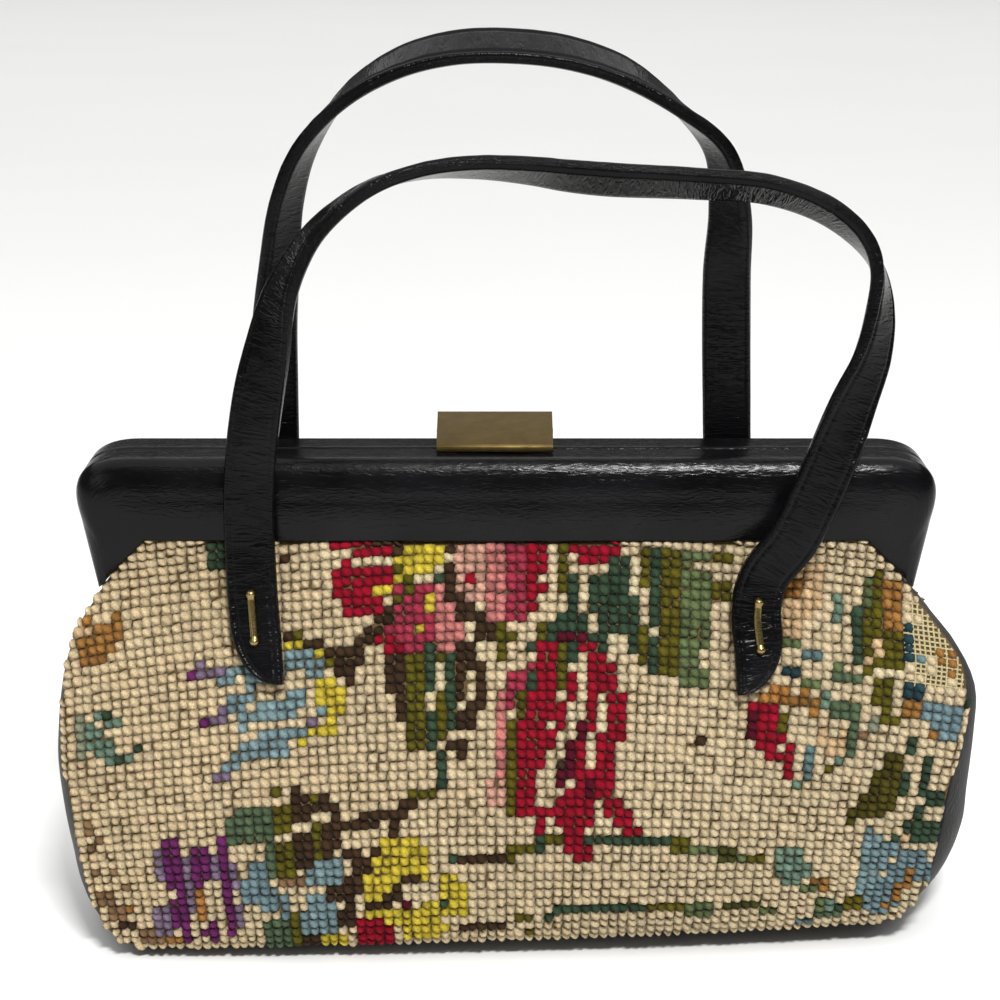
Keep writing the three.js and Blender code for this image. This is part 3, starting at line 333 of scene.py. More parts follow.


# Chart of the flowers, drawn in stitches: column from the middle, row down from the frame.
# One point is a stitch, two are the corners of a block, and more are an outline. After a width come the
# points of a line. Later entries lie over earlier ones
CHART = (
    # Crimson flower with a yellow heart under the frame
    ("crimson", (-17.3, -1), (-11, -1), (-11, 4), (-12, 5), (-12, 7), (-15, 7), (-16, 6), (-16.1, 5),
     (-17.3, 5)),
    ("cream", (-17.5, 0), (-15.2, 0), (-15.2, 1), (-16.3, 1), (-16.3, 2), (-17.5, 2)),
    ("cream", (-15, 1), (-11.1, 2)),
    ("brown", (-12.5, -1.2), (-10.4, -1.2), (-10.4, 2), (-11, 2), (-11, -0.2), (-12.5, -0.2)),
    ("yellow", (-9, -0.9), (-7, -0.9), (-7, 0), (-6, 0), (-6, 2), (-7, 3), (-10, 3), (-10, 2), (-11, 2),
     (-11, 1), (-10, 1), (-10, 0), (-9, 0)),
    ("yellow", (-11, 3)), ("yellow", (-13, 4)), ("yellow", (-12, 4)), ("olive", (-11, 2)),
    ("olive", (-10, 3)), ("olive", (-10, 4)), ("olive", (-11, 5)), ("deep_rose", (-11, 4)),
    ("cream", (-6, 1)), ("cream", (-7, 2)), ("cream", (-9, 3), (-7, 4)), ("dark_green", (-7, 3)),
    ("brown", (-6, -1), (-5, 1)), ("brown", (-6, 2), (-5, 6)),
    # Rose pansy
    ("deep_rose", (-9, 4), (-7.2, 4), (-7.2, 10), (-6.9, 11), (-8.7, 11), (-8.7, 10.6), (-11.6, 11),
     (-11.7, 10), (-12.6, 10), (-12.6, 9), (-11.6, 8), (-11.6, 7), (-10.5, 6), (-9.6, 5)),
    ("crimson", (-12.6, 9), (-11, 9), (-10, 10), (-10, 11), (-11.6, 11), (-11.7, 10), (-12.6, 10)),
    ("pink", (-7, 4.2), (-5.6, 4.6), (-4.7, 6), (-3.8, 7.2), (-3.6, 9.5), (-4.7, 11), (-7, 11)),
    ("yellow", (-8, 5), (-7, 7)), ("yellow", (-9, 8)), ("cream", (-4, 8), (-3, 10)),
    # Striped petals in the middle
    ("pale_pink", (-5, 0), (-2, 0), (-2, 6), (-4, 6), (-5, 5)),
    ("pink", (-2, -0.5), (0, -0.5), (0, 8), (-1.9, 8)),
    ("deep_rose", (0, -0.5), (2, -0.5), (1.9, 6), (1.8, 7.8), (0, 7.8)),
    ("crimson", (2, -0.5), (4.3, -0.5), (4.2, 2), (3, 3.6), (3.6, 4.5), (3.2, 6), (2.8, 7), (1.9, 7)),
    ("crimson", (-4, 3)), ("olive", (4.5, -0.5), (5.7, 4.8)),
    ("brown", 1.6, (-5.3, 5), (-4.6, 6.5), (-3, 7.6), (-2, 9), (-3, 11)), ("olive", (-1.1, 8), (0, 12.5)),
    ("olive", (0, 9)), ("olive", (3, 8), (3.9, 9.6)), ("dark_green", (4, 8), (4.9, 9.8)),
    ("crimson", (5.7, -0.6), (11.5, -0.6), (11.2, 0.5), (10.1, 0.8), (10, 2), (6.6, 2), (6.5, 1),
     (5.7, 0.8)),
    # Large green leaf
    ("dark_green", (5.8, 3.3), (6.9, 3.3), (6.9, 6.2), (8, 7.2), (8.4, 9), (5.5, 9), (5.5, 7), (5.8, 6)),
    ("dark_green", (10, 0.9), (12.2, 0.9), (12.4, 5.4), (13.2, 6), (13.3, 9.8), (13.6, 11.6), (13, 11.8),
     (12, 10.6), (11.8, 9.6), (9.4, 8.6), (9.4, 7), (8.4, 6.8), (8.4, 3.2), (9.8, 3)),
    ("dark_green", (8.4, 9.2), (9.6, 11)), ("maroon", (5, 9), (8.3, 10)), ("cream", (10, 9)),
    ("cream", (12.3, 1), (13.2, 5)), ("olive", (13.2, 0), (14.3, 4)), ("olive", (13.3, 8), (14.4, 12)),
    ("dark_green", (14.3, 0), (15.1, 8)), ("dark_green", (14.3, 9), (15.2, 12.8)), ("cream", (14, 8)),
    ("olive", (15.1, -0.3), (17.3, 12.6)),
    ("mid_green", (17.3, 0.4), (20.3, 0.4), (20.3, 9), (19.4, 10), (19.6, 13.8), (17.4, 13.6)),
    ("cream", (18.5, 0.6), (20.4, 0.6), (20.4, 2.4), (19.6, 2.4), (19.6, 1.8), (18.5, 1.8)),
    ("olive", (20.1, -0.5), (22, 1)), ("olive", (20.1, 2.8), (22, 2.8), (21.6, 5), (20.2, 5)),
    # Hanging fuchsia
    ("crimson", (3.6, 10), (4.9, 10), (5.8, 15), (5.8, 18.6), (5, 20), (4.4, 21.5), (3.5, 23),
     (3.5, 26.6), (4.6, 27), (4.6, 28), (4, 28.6), (3.9, 30.4), (2.9, 30.4), (2.6, 28.2), (1.4, 27.8),
     (1.2, 18), (2, 17.8), (2, 15), (3.1, 15), (3.1, 11)),
    ("deep_rose", (0, 13), (1.9, 13), (1.9, 15), (1.1, 15), (1.1, 17.5), (0, 17.5)),
    ("dark_green", (2, 12.6), (3, 15)), ("dark_green", (1.9, 10.4), (3, 11.3)),
    ("deep_rose", (2, 11.6), (3, 12.6)), ("olive", (5, 10), (5.7, 14.8)),
    ("dark_green", (5.8, 10), (6.7, 12)),
    ("crimson", (6.7, 10), (8.3, 10), (10.2, 11.4), (11.3, 13.5), (11.8, 17), (11.7, 20), (11.2, 21),
     (11.3, 26), (12.6, 27.4), (13.8, 29.6), (13.8, 30.4), (12.8, 30.4), (12, 29.6), (10.8, 28.8),
     (9.9, 27.8), (8.9, 26.5), (8.9, 24), (9.3, 20), (8.8, 15), (7.8, 12.6), (7.6, 11.4)),
    ("crimson", (5.9, 12.5), (6.8, 15.8)), ("crimson", (7.9, 13), (8.9, 19)),
    ("cream", (6.9, 12.4), (7.8, 12.4), (7.9, 18), (7.1, 18.2), (7.1, 20), (5.2, 20), (5.2, 19),
     (6.2, 18.8), (6.1, 16.2), (6.9, 16)),
    ("cream", (8.9, 15), (9.8, 18.8)), ("cream", (8.4, 19), (9.2, 19), (9.3, 23), (8.7, 23), (8.4, 21)),
    ("cream", (4.5, 21), (6, 20.6), (5.9, 21.6), (5, 22.4), (5.2, 24), (4.5, 24), (4.5, 26.6),
     (3.6, 26.6), (3.6, 23), (4.4, 22.8)),
    ("crimson", (5.5, 26), (7.5, 24.4), (8.8, 26), (8.6, 28.6), (8.2, 29.6), (7.7, 31), (8.8, 31.6),
     (8.4, 33), (6.9, 33), (6.7, 31.6), (5.9, 31.2), (5.9, 29.4), (5.4, 28.8)),
    ("maroon", (7.2, 18), (8.1, 18), (8.1, 20), (7.3, 20.4), (7.4, 23.6), (6.3, 24.2), (5.4, 25.4),
     (5.4, 29), (4.7, 29), (4.6, 24), (5.4, 23.4), (6.2, 22), (6.1, 20.4), (7.2, 19.8)),
    ("crimson", (7.4, 20.4), (8.2, 20.4), (8.6, 24), (7.5, 24)), ("maroon", (7.5, 24), (8.8, 26)),
    ("cream", (8.7, 26.4), (9.5, 26.4), (10.6, 28.6), (11.9, 29.8), (12.8, 30.4), (7.9, 30.4), (8.7, 29)),
    ("brown", (5, 22)), ("cream", (4, 18)), ("cream", (5, 15)), ("cream", (4, 28), (5, 30)),
    ("cream", (5, 29)),
    ("pink", (-1, 15), (0, 15), (0, 20), (-0.2, 25), (-1.4, 25), (-1.5, 20), (-0.9, 18)),
    ("pale_pink", (-2.2, 24), (-0.3, 27.5)), ("olive", (1.2, 15), (2, 18)),
    ("olive", (0.1, 18), (1.2, 18), (1.3, 27.6), (0.5, 27.6), (0.3, 22)),
    # Two thin stems at the bottom
    ("brown", (-5.3, 32), (0, 33)), ("dark_green", (-6, 32)), ("olive", (0, 31), (2.7, 32)),
    ("olive", (0, 32)), ("dark_green", (3, 30), (4, 32)), ("olive", (4, 30), (5.6, 31)),
    ("dark_green", (8, 30), (17, 31)), ("olive", (17, 30), (19, 32)), ("mid_green", (19, 31), (21.7, 32)),
    ("dark_olive", (21.8, 31), (23.6, 33)), ("mid_green", (23.6, 32), (24.9, 33)),
    ("olive", (24.9, 32), (27, 33)), ("dark_green", (5.2, 38), (15, 39)), ("olive", (15, 38), (19.3, 39)),
    ("mid_green", (19.3, 38), (22.5, 40)), ("dark_olive", (22.5, 38), (26.8, 39)),
    ("mid_green", (26.8, 39), (29, 40)), ("dark_green", (4, 39)), ("olive", (1, 39), (3, 40)),
    ("brown", (-5.2, 40), (-0.2, 41)), ("olive", (1.7, 41), (2.9, 42)),
    # Brown and green leaf under the pansy
    ("brown", (-12, 11), (-10, 15)), ("brown", (-11, 15), (-10, 18)), ("olive", (-10, 11), (-8, 20.6)),
    ("dark_green", (-8, 10), (-7, 15)), ("cream", (-8, 15), (-7, 17)), ("dark_green", (-8, 17), (-7, 21)),
    ("olive", (-7, 11)), ("cream", (-7, 12), (-6, 15)), ("olive", (-7, 15), (-6, 20)),
    ("dark_green", (-6, 11), (-5, 19)),
    ("brown", (-5, 10), (-3, 10), (-2.2, 12.5), (-2, 16.5), (-3.6, 17.8), (-5, 17.8)),
    ("cream", (-4, 13), (-3, 16)), ("cream", (-5, 16)), ("cream", (-2.6, 10), (-1.9, 12)),
    # Stem to the left
    ("brown", (-4.7, 18.4), (-3.2, 19.5)), ("brown", (-5.6, 20.4), (-3.7, 20.4), (-3.9, 21.6), (-5.2, 22)),
    ("dark_green", 1.1, (-6.1, 21.6), (-6.1, 24.4)), ("olive", 1.0, (-6.6, 25), (-8.8, 25.1)),
    ("olive", 1.1, (-9, 25.4), (-9.2, 27)), ("brown", 1.1, (-10, 26.5), (-10.6, 27.5), (-14.6, 27.5)),
    ("brown", 1.1, (-13.6, 28.4), (-18.4, 28.4)),
    ("brown", 1.0, (-11.4, 28), (-11.5, 30), (-12.3, 31), (-13.2, 31.8)),
    # Cluster of leaves
    ("olive", (-24, 23.8), (-22.7, 24.8)), ("brown", (-22.2, 24), (-20.3, 25), (-20.1, 28), (-22, 28)),
    ("olive", (-24.1, 26), (-22.1, 28.7)), ("brown", (-20.1, 25), (-18.2, 27)), ("olive", (-20, 25)),
    ("brown", (-18.5, 26), (-16.6, 26), (-16.8, 29), (-18.4, 29)),
    ("brown", (-19.4, 28.4), (-17.2, 28.4), (-17.6, 31.4), (-19.2, 31.6)),
    ("olive", (-20.2, 28.4), (-19.3, 31.6)),
    ("brown", (-22.2, 29.2), (-20.2, 29.2), (-20.4, 33), (-22, 33.2)),
    ("olive", (-23.8, 30), (-22.1, 33.6)), ("tan_brown", (-23.6, 33.8), (-21.4, 35)),
    ("cream", (-22, 28), (-20, 29)), ("cream", (-20, 27), (-18, 28)), ("cream", (-24.5, 29), (-22.3, 30)),
    ("leaf_green", (-27.5, 26), (-24, 25.8), (-23.8, 30), (-23.7, 34.2), (-25, 34.2), (-25, 30.4),
     (-28, 30), (-29.2, 28.8), (-28.6, 27.6)),
    ("brown", (-17, 31), (-15.7, 31), (-14.4, 32), (-14.5, 34.4), (-15.6, 36), (-16, 39.6), (-17.8, 39.6),
     (-18.9, 36.5), (-18.4, 35), (-17.2, 34.2), (-15.6, 33.6), (-16.2, 32.4)),
    ("cream", (-18, 37)),
    # Yellow flower
    ("yellow", (-12.3, 30), (-8.9, 30), (-8, 33), (-8, 35), (-9, 34), (-10.5, 34), (-12, 36), (-12.6, 37),
     (-15.2, 37), (-14.8, 35), (-13.8, 32)),
    ("yellow", (-7.2, 34), (-5, 34), (-3.8, 36), (-4, 38), (-4.8, 39), (-7, 39.3), (-7.4, 36)),
    ("yellow", (-15.6, 37.6), (-10.5, 37.6), (-8.8, 37), (-7.4, 37), (-7, 39), (-6.2, 40), (-7.2, 42),
     (-10.8, 42), (-11, 40), (-13.3, 40), (-13.4, 39), (-15.4, 39)),
    ("brown", 1.0, (-9.2, 34.5), (-10.5, 34.6), (-11.5, 36), (-12.6, 37.3), (-14.6, 37.5)),
    ("cream", (-11, 35.2), (-8.6, 35.2), (-7.7, 36.4), (-8.9, 38), (-10.2, 38), (-11, 37)),
    ("maroon", (-11, 37)), ("dark_green", (-7, 37)),
    ("crimson", (-15.8, 39.2), (-13.8, 39.2), (-12.2, 40.6), (-11.8, 42), (-12, 42.8), (-14.6, 42.8),
     (-16.5, 42.2), (-16.2, 40.4)),
    # Small blue flower
    ("blue", (-19.6, 32), (-17.3, 32), (-17.4, 34.8), (-19, 35.4), (-21.2, 35.2), (-21.2, 34)),
    ("blue", (-21.4, 36), (-19, 36), (-18, 37.5), (-18, 41), (-21.6, 41)),
    ("deep_blue", (-27.4, 32.6), (-25, 32), (-24.8, 35), (-22.6, 36.4), (-22.6, 38.6), (-26, 38.4),
     (-27.6, 36.4)),
    ("cream", (-29, 35)), ("cream", (-27, 37)),
    ("leaf_green", (-26, 39), (-23.4, 38.6), (-23.2, 43), (-25.6, 43)), ("olive", (-23.4, 38), (-22.1, 43)),
    ("yellow", (-19.6, 41), (-17, 43)), ("brown", (-22.1, 41.4), (-19.8, 43)),
    # Blue bell flower beside the left tab
    ("blue", (-22, 10), (-19.2, 11)), ("blue", (-22, 11), (-18.3, 12)), ("blue", (-20, 12), (-18.2, 13)),
    ("blue", (-28.4, 10.9), (-22, 10.9), (-22, 12.6), (-28.9, 12.9)), ("cream", (-27, 12)),
    ("blue", (-26, 13), (-24.9, 14)), ("deep_blue", (-28, 13.8), (-25, 13.6), (-25, 14.8), (-28.2, 14.9)),
    ("blue", (-21.8, 13.8), (-19.4, 13.8), (-19.9, 15.9), (-21.4, 16.9), (-25, 17), (-26.6, 18),
     (-26.8, 16.8), (-28, 16.2), (-28.2, 15), (-26.5, 15), (-26, 15.7), (-24, 15.4), (-24, 14.9),
     (-21.8, 14.8)),
    ("blue", (-25.1, 17.8), (-19.6, 18), (-19.7, 19), (-21.5, 19.2), (-21.5, 20), (-23, 20.9), (-26, 21),
     (-27.2, 21.8), (-28.8, 21.8), (-28.4, 20.8), (-27.5, 20), (-27, 19), (-25.1, 18.8)),
    ("blue", (-19.2, 16), (-18.1, 17)), ("lavender", (-20.5, 17), (-18.8, 18)),
    ("lavender", (-31.1, 10.9), (-28.3, 12)), ("lavender", (-31, 10)), ("lavender", (-30, 16), (-27.6, 17)),
    ("lavender", (-29.4, 15), (-28, 16)), ("lavender", (-29.8, 21.8), (-27.5, 23)), ("purple", (-32, 11)),
    ("purple", (-31, 16)), ("yellow", (-19.2, 10), (-18.2, 11)),
    ("yellow", (-18.6, 13), (-17.1, 13), (-17.1, 14), (-16, 14), (-16, 17), (-17, 18), (-17.8, 19),
     (-19.5, 19), (-19.5, 20), (-21.4, 20), (-21.4, 19), (-19.5, 19), (-19.5, 18), (-18.6, 18),
     (-17.8, 17), (-17.8, 16), (-19, 16), (-19, 14), (-18.6, 14)),
    ("brown", (-12, 6.2), (-11, 6.2), (-11.6, 8), (-13.2, 10), (-14.2, 11), (-15, 13), (-15.6, 14.6),
     (-16.5, 14.6), (-16.4, 13), (-17.4, 12), (-18, 11), (-18, 10), (-16, 10), (-14.6, 9), (-13, 8)),
    ("olive", (-18, 11)), ("brown", (-22, 8), (-21, 9)), ("olive", (-21, 8), (-20, 9)),
    ("yellow", (-22, 9), (-20, 10)), ("brown", (-20, 9), (-18.1, 10)), ("brown", (-22, 0.2), (-21, 1.5)),
    # Left edge
    ("dark_green", (-28.8, -2.2), (-27.2, 0.8)),
    ("tan", (-42.8, 5), (-41, 4.6), (-39, 4.8), (-38.9, 4), (-37.6, 4), (-37.6, 6.9), (-38.4, 7.1),
     (-39.6, 8.2), (-40, 9), (-42.6, 9), (-42.9, 7)),
    ("peach", (-42.8, 5), (-41.2, 6)), ("orange", (-42, 4)),
    ("teal", (-42.3, 14.4), (-39.2, 14.6), (-39.2, 16), (-40, 16.4), (-39.7, 18.6), (-38.2, 19),
     (-37.8, 20.4), (-40.2, 20.4), (-40.3, 19.6), (-42.4, 19), (-42.7, 16.6)),
    ("dark_green", (-41, 14)), ("dark_green", (-40, 19)), ("cream", (-42, 15)),
    ("cream", (-41, 16), (-39, 17)), ("dark_green", (-38, 18)), ("grey_green", (-44, 14), (-42.5, 19)),
    ("tan_brown", (-44, 26), (-43, 27.6)), ("tan_brown", (-43, 28)), ("tan_brown", (-44, 29)),
    ("tan_brown", (-43.8, 32), (-43, 33.5)), ("tan_brown", (-42, 31.8), (-40.9, 33.4)),
    ("tan_brown", (-41, 34)), ("tan_brown", (-43.8, 35), (-42.4, 36.6)),
    ("tan_brown", (-42.6, 36.5), (-41.2, 38.6)), ("tan", (-41.5, 36.5), (-39.5, 38.3)),
    ("brown", (-42.4, 38.6), (-40, 40.3)), ("tan_brown", (-40, 40.3), (-37, 42)),
    # Purple flower
    ("purple", (-35.9, 29.2), (-33.9, 29.2), (-34, 35), (-35.8, 35)),
    ("purple", (-35.1, 35), (-34.1, 35), (-34.4, 40.4), (-36, 40.4), (-36, 36.3), (-35.1, 36)),
    ("cream", (-36, 35)), ("lavender", (-36.9, 30), (-35.9, 34)), ("lavender", (-38, 36.5), (-36.2, 40.6)),
    ("lavender", (-33.9, 30.5), (-33, 38)),
    ("purple", (-33, 30.2), (-31.3, 30.2), (-31.4, 34.5), (-32.8, 34.8)),
    ("orange", (-33.2, 35), (-31.5, 35), (-31.5, 38.6), (-33.4, 39)),
    ("lavender", (-31.2, 30.5), (-30.3, 34)), ("cream", (-32, 34)), ("cream", (-31, 35), (-30, 37)),
    ("cream", (-32, 38)), ("purple", (-30.1, 29.4), (-28.9, 41)), ("lavender", (-28.8, 31.8), (-27.5, 35)),
    ("lavender", (-29, 36.5), (-27.8, 39.7)), ("purple", (-32.6, 38.7), (-31.2, 42.4)),
    ("purple", (-35, 40), (-33.8, 42.4)), ("cream", (-34, 39), (-32, 40)), ("cream", (-33, 41)),
    ("tan", (-37, 41), (-35, 42.4)),
    # Rose and leaves beside the right tab
    ("peach", (28.6, 0.3), (30.8, 0.3), (31.2, 2), (31, 4.4), (29.4, 6.6), (28.6, 7.8), (26.7, 7.8),
     (26.6, 2.6)),
    ("tan", (26.7, 2.4), (28.6, 4)), ("teal", (32.4, 2.5), (33.5, 6)),
    ("dark_green", (33.6, 3.6), (35, 9.8)), ("mid_green", (34.8, 1), (35.8, 5)),
    ("mid_green", (27, 7.8), (28.8, 9.3)), ("blue_teal", (29.2, 9), (31.4, 10.2)),
    ("dark_teal", (27.1, 10.6), (28.8, 12)), ("mid_green", (28.5, 12), (30.8, 13.4)),
    ("mid_green", (31.5, 9.6), (33, 10.8)), ("leaf_green", (32, 10.6), (35, 12.3)),
    ("teal", (30.8, 13), (31.8, 15.3)),
    ("leaf_green", (32.4, 13.5), (35, 13.8), (35.4, 20), (34.2, 20), (34.2, 17), (32.4, 15.5)),
    ("orange", (24.9, 13.6), (28, 15)), ("orange", (26, 12.6), (28.2, 13.6)),
    ("tan", (28, 13.6), (30.8, 15.2)), ("tan", (29, 13)), ("tan", (30, 15)),
    ("crimson", (24, 15.5), (26.8, 15.5), (27.9, 18.2), (29.2, 19), (29.5, 23), (27.7, 23), (27.6, 20.6),
     (25, 20.4), (24.9, 19), (23.9, 19)),
    ("maroon", (23.9, 15.6), (24.9, 19)), ("cream", (27, 19)), ("olive", (26.9, 15.8), (28, 18)),
    ("blue_teal", (29.5, 19.2), (31.3, 23)), ("teal", (28.9, 23), (30.2, 24)),
    ("peach", (30.8, 17), (34.5, 20)), ("cream", (32, 17)), ("cream", (31, 19)), ("teal", (33, 20)),
    ("olive", (32, 21)),
    # Olive leaf at the right
    ("olive", (35.6, -0.4), (37.4, -0.4), (37.4, 4), (38.9, 5.5), (38.9, 9), (37.6, 10.8), (35.3, 10.5),
     (35.1, 5), (35.8, 4)),
    ("tan", (37.3, 1), (38.8, 6.3)), ("orange", (38, 2)), ("orange", (38, 4)), ("peach", (36, 7), (37, 9)),
    ("peach", (35, 9)), ("dark_teal", (38.9, 5.2), (39.8, 9.2)), ("deep_blue", (39.7, 6.3), (41.3, 9.8)),
    ("tan", (42.2, 7.4), (44, 9.8)), ("cream", (36.2, 10.4), (39.2, 11.4)),
    ("dark_teal", (38.9, 11.4), (41.5, 12.6)),
    ("deep_blue", (40.4, 12.5), (44.8, 13), (44.8, 17), (42.4, 16.6)), ("dark_green", (45, 11.5), (46, 13)),
    ("olive", (35.9, 11.4), (38, 12.6)), ("tan", (39.3, 13), (41.3, 15)), ("tan", (42, 16)),
    ("grey_green", (36, 15), (37, 17)), ("olive", (36, 13), (38, 14)), ("olive", (37, 14)),
    ("olive", (37, 15), (39, 16)), ("tan_brown", (35, 17)),
    # Curved leaves at the right
    ("dark_green", (39.8, 16.6), (40.7, 19)), ("dark_green", (40, 21), (41, 24)),
    ("dark_green", (41.7, 19.4), (43, 24)), ("dark_green", (43.4, 23), (45.2, 24.6)),
    ("dark_green", (41.9, 24.8), (43, 27)), ("dark_green", (40.6, 27), (45, 29.6)),
    ("dark_green", (39.7, 29), (40.7, 29.8)),
    ("brown_olive", (38.2, 19), (40, 19.2), (40.2, 22.6), (40.2, 25.2), (38.4, 26.6), (36.4, 27.2),
     (34.9, 28.4), (35.4, 26.4), (36.2, 24.4), (36.9, 22.5)),
    ("peach", (40.5, 29.4), (42.3, 30.4)),
    # Blue and green patches in the right corner
    ("deep_blue", (37.2, 28.4), (38.8, 28.8), (40, 30.4), (43.2, 31), (44.8, 33.5), (44.6, 35.5),
     (43, 36.5), (42, 40.4), (39.6, 40.6), (37.2, 38.4), (36.9, 34)),
    ("blue", (36.8, 29), (38.6, 39)), ("blue", (39, 31), (40, 33.4)), ("cream", (39, 34)),
    ("cream", (40, 32)), ("cream", (42, 36), (44.8, 41)), ("tan", (42, 34), (43, 37)),
    ("tan", (41, 36), (42, 38.6)), ("tan", (40, 39)),
    ("teal", (27.6, 31), (30.4, 31), (31.6, 33), (32.2, 34.4), (31, 35.4), (30.2, 36.4), (28.4, 35.4),
     (27.6, 34)),
    ("tan", (31.6, 35), (33.6, 37.4)), ("mid_green", (30.8, 36), (32.6, 37.5)),
    ("mid_green", (32.6, 38.3), (34, 40)), ("leaf_green", (33, 40), (36, 41)),
    ("blue_teal", (31, 41), (33, 42)), ("teal", (34, 38), (35.2, 39.6)),
    ("dark_green", (35, 38.6), (36.4, 40.4)), ("olive", (36.2, 37.8), (38.4, 40)), ("brown", (19, 19)),
)

# Wools, as sRGB
WOOLS = {
    "ground": "d2be99", "cream": "d6c59f", "crimson": "930d24", "maroon": "540d20", "deep_rose": "9c3245",
    "pink": "c27871", "pale_pink": "cf9e89", "yellow": "c9b43b", "blue": "7b9295", "deep_blue": "71888d",
    "purple": "66265b", "lavender": "7d6b7f", "brown": "3e2c1c", "olive": "5b5414", "dark_olive": "43431d",
    "brown_olive": "4b4412", "dark_green": "354835", "mid_green": "606d46", "leaf_green": "526248",
    "teal": "6a816f", "blue_teal": "617a7b", "dark_teal": "263f45", "tan": "976b36", "peach": "ceaf85",
    "orange": "ac763c", "tan_brown": "84674a", "grey_green": "888b74",
}
BARE_THREAD = "bbae86"
# Painted shade: a strand's colour is darkened to these shares at its foot and at its ends, where the stitches
# shade each other
GAP_SHADE, END_SHADE = 0.36, 0.3
# How wools vary from stitch to stitch, and how the ground drifts over the panel in radians to a stitch
GROUND_SPREAD, FLOWER_SPREAD, WARMTH_SPREAD = 0.06, 0.13, 0.35
GROUND_DRIFT = 0.05
DRIFT_ACROSS, DRIFT_DOWN, DRIFT_SLANT, DRIFT_START = 0.21, 0.17, 0.05, 1.3
# The ground is warmer to the left: columns for a full share of the tint, and its least and most
WARM_COLUMNS, LEAST_WARMTH, MOST_WARMTH = 60, -0.4, 0.8
WARM_TINT = (0.015, -0.012, -0.05)
# Worn patch at the right edge, in stitches, and the share of its stitches that are gone
WORN_COLUMNS, WORN_ROWS = (39.5, 45.5), (3, 11)
WORN_SHARE = 0.6


def linear(hex_colour):
    """sRGB hex as linear red, green, blue."""
    value = np.array([int(hex_colour[i:i + 2], 16) for i in (0, 2, 4)]) / 255
    return np.where(value <= 0.04045, value / 12.92, ((value + 0.055) / 1.055) ** 2.4)


def inside(outline, column, row):
    """Which stitch middles lie inside an outline."""
    found = np.zeros(column.shape, bool)
    for (c0, r0), (c1, r1) in zip(outline, outline[1:] + outline[:1]):
        if r0 == r1:
            continue
        crosses = (row < r0) != (row < r1)
        found ^= crosses & (column < c0 + (c1 - c0) * (row - r0) / (r1 - r0))
    return found


def near_line(line, width, column, row):
    """Which stitch middles lie within half a width of a line."""
    found = np.zeros(column.shape, bool)
    for start, end in zip(line, line[1:]):
        start, run = np.array(start, float), np.subtract(end, start)
        t = np.clip(((column - start[0]) * run[0] + (row - start[1]) * run[1]) / (run @ run), 0, 1)
        away = np.hypot(column - start[0] - t * run[0], row - start[1] - t * run[1])
        found |= away <= width / 2
    return found


def charted(column, row):
    """Name of the wool of each stitch, from the middles of the stitches."""
    names = np.full(column.shape, "ground", dtype=object)
    for wool, *shape in CHART:
        if isinstance(shape[0], float):
            names[near_line(shape[1:], shape[0], column, row)] = wool
        elif len(shape) == 1:
            c, r = shape[0]
            names[(np.floor(column) == c) & (np.floor(row) == r)] = wool
        elif len(shape) == 2:
            (c0, r0), (c1, r1) = shape
            names[(column > c0) & (column < c1) & (row > r0) & (row < r1)] = wool
        else:
            names[inside(tuple(shape), column, row)] = wool
    return names


# Meshes

def facing_out(points, faces):
    """The faces of closed bodies, all turned round where they face in."""
    volume = 0.0
    for group in faces:
        for k in range(1, group.shape[1] - 1):
            turn = np.cross(points[group[:, k]], points[group[:, k + 1]])
            volume += np.einsum("ij,ij->", points[group[:, 0]], turn)
    return faces if volume > 0 else [group[:, ::-1] for group in faces]


def new_piece(name, points, faces, material, slot, stands_for=()):
    """A smooth mesh piece that rides on the bag; faces are arrays of corners, one for each kind of face."""
    corners = np.concatenate([group.ravel() for group in faces])
    sizes = np.concatenate([np.full(len(group), group.shape[1]) for group in faces])
    mesh = bpy.data.meshes.new(name)
    mesh.vertices.add(len(points))
    mesh.vertices.foreach_set("co", in_place(points).ravel())
    mesh.loops.add(len(corners))
    mesh.loops.foreach_set("vertex_index", corners)
    mesh.polygons.add(len(sizes))
    mesh.polygons.foreach_set("loop_start", np.cumsum(sizes) - sizes)
    mesh.polygons.foreach_set("use_smooth", np.ones(len(sizes), bool))
    mesh.update(calc_edges=True)
    mesh.validate()
    mesh.materials.append(material)
    piece = bpy.data.objects.new(name, mesh)
    bpy.context.scene.collection.objects.link(piece)
    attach(piece, "bag")
    if stands_for:
        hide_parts(*stands_for)
    return piece


def loft(rings):
    """Closed skin through rings of points, with a flat face over each end."""
    index = np.arange(rings.shape[0] * rings.shape[1]).reshape(rings.shape[:2])
    beside = np.roll(index, -1, axis=1)
    quads = np.stack([index[:-1], beside[:-1], beside[1:], index[1:]], axis=-1).reshape(-1, 4)
    ends = np.stack([index[0][::-1], index[-1]])
    points = rings.reshape(-1, 3)
    return points, facing_out(points, [quads, ends])


def wall(outer, inner):
    """Closed wall between two grids of points."""
    rows, columns = outer.shape[:2]
    index = np.arange(rows * columns).reshape(rows, columns)
    under = rows * columns
    corners = [index[:-1, :-1], index[:-1, 1:], index[1:, 1:], index[1:, :-1]]
    quads = np.stack(corners, axis=-1).reshape(-1, 4)
    rim = np.concatenate([index[0], index[1:, -1], index[-1, -2::-1], index[-2:0:-1, 0]])
    after = np.roll(rim, -1)
    sides = np.stack([after, rim, rim + under, after + under], axis=-1)
    points = np.concatenate([outer.reshape(-1, 3), inner.reshape(-1, 3)])
    return points, facing_out(points, [np.concatenate([quads, quads[:, ::-1] + under, sides])])


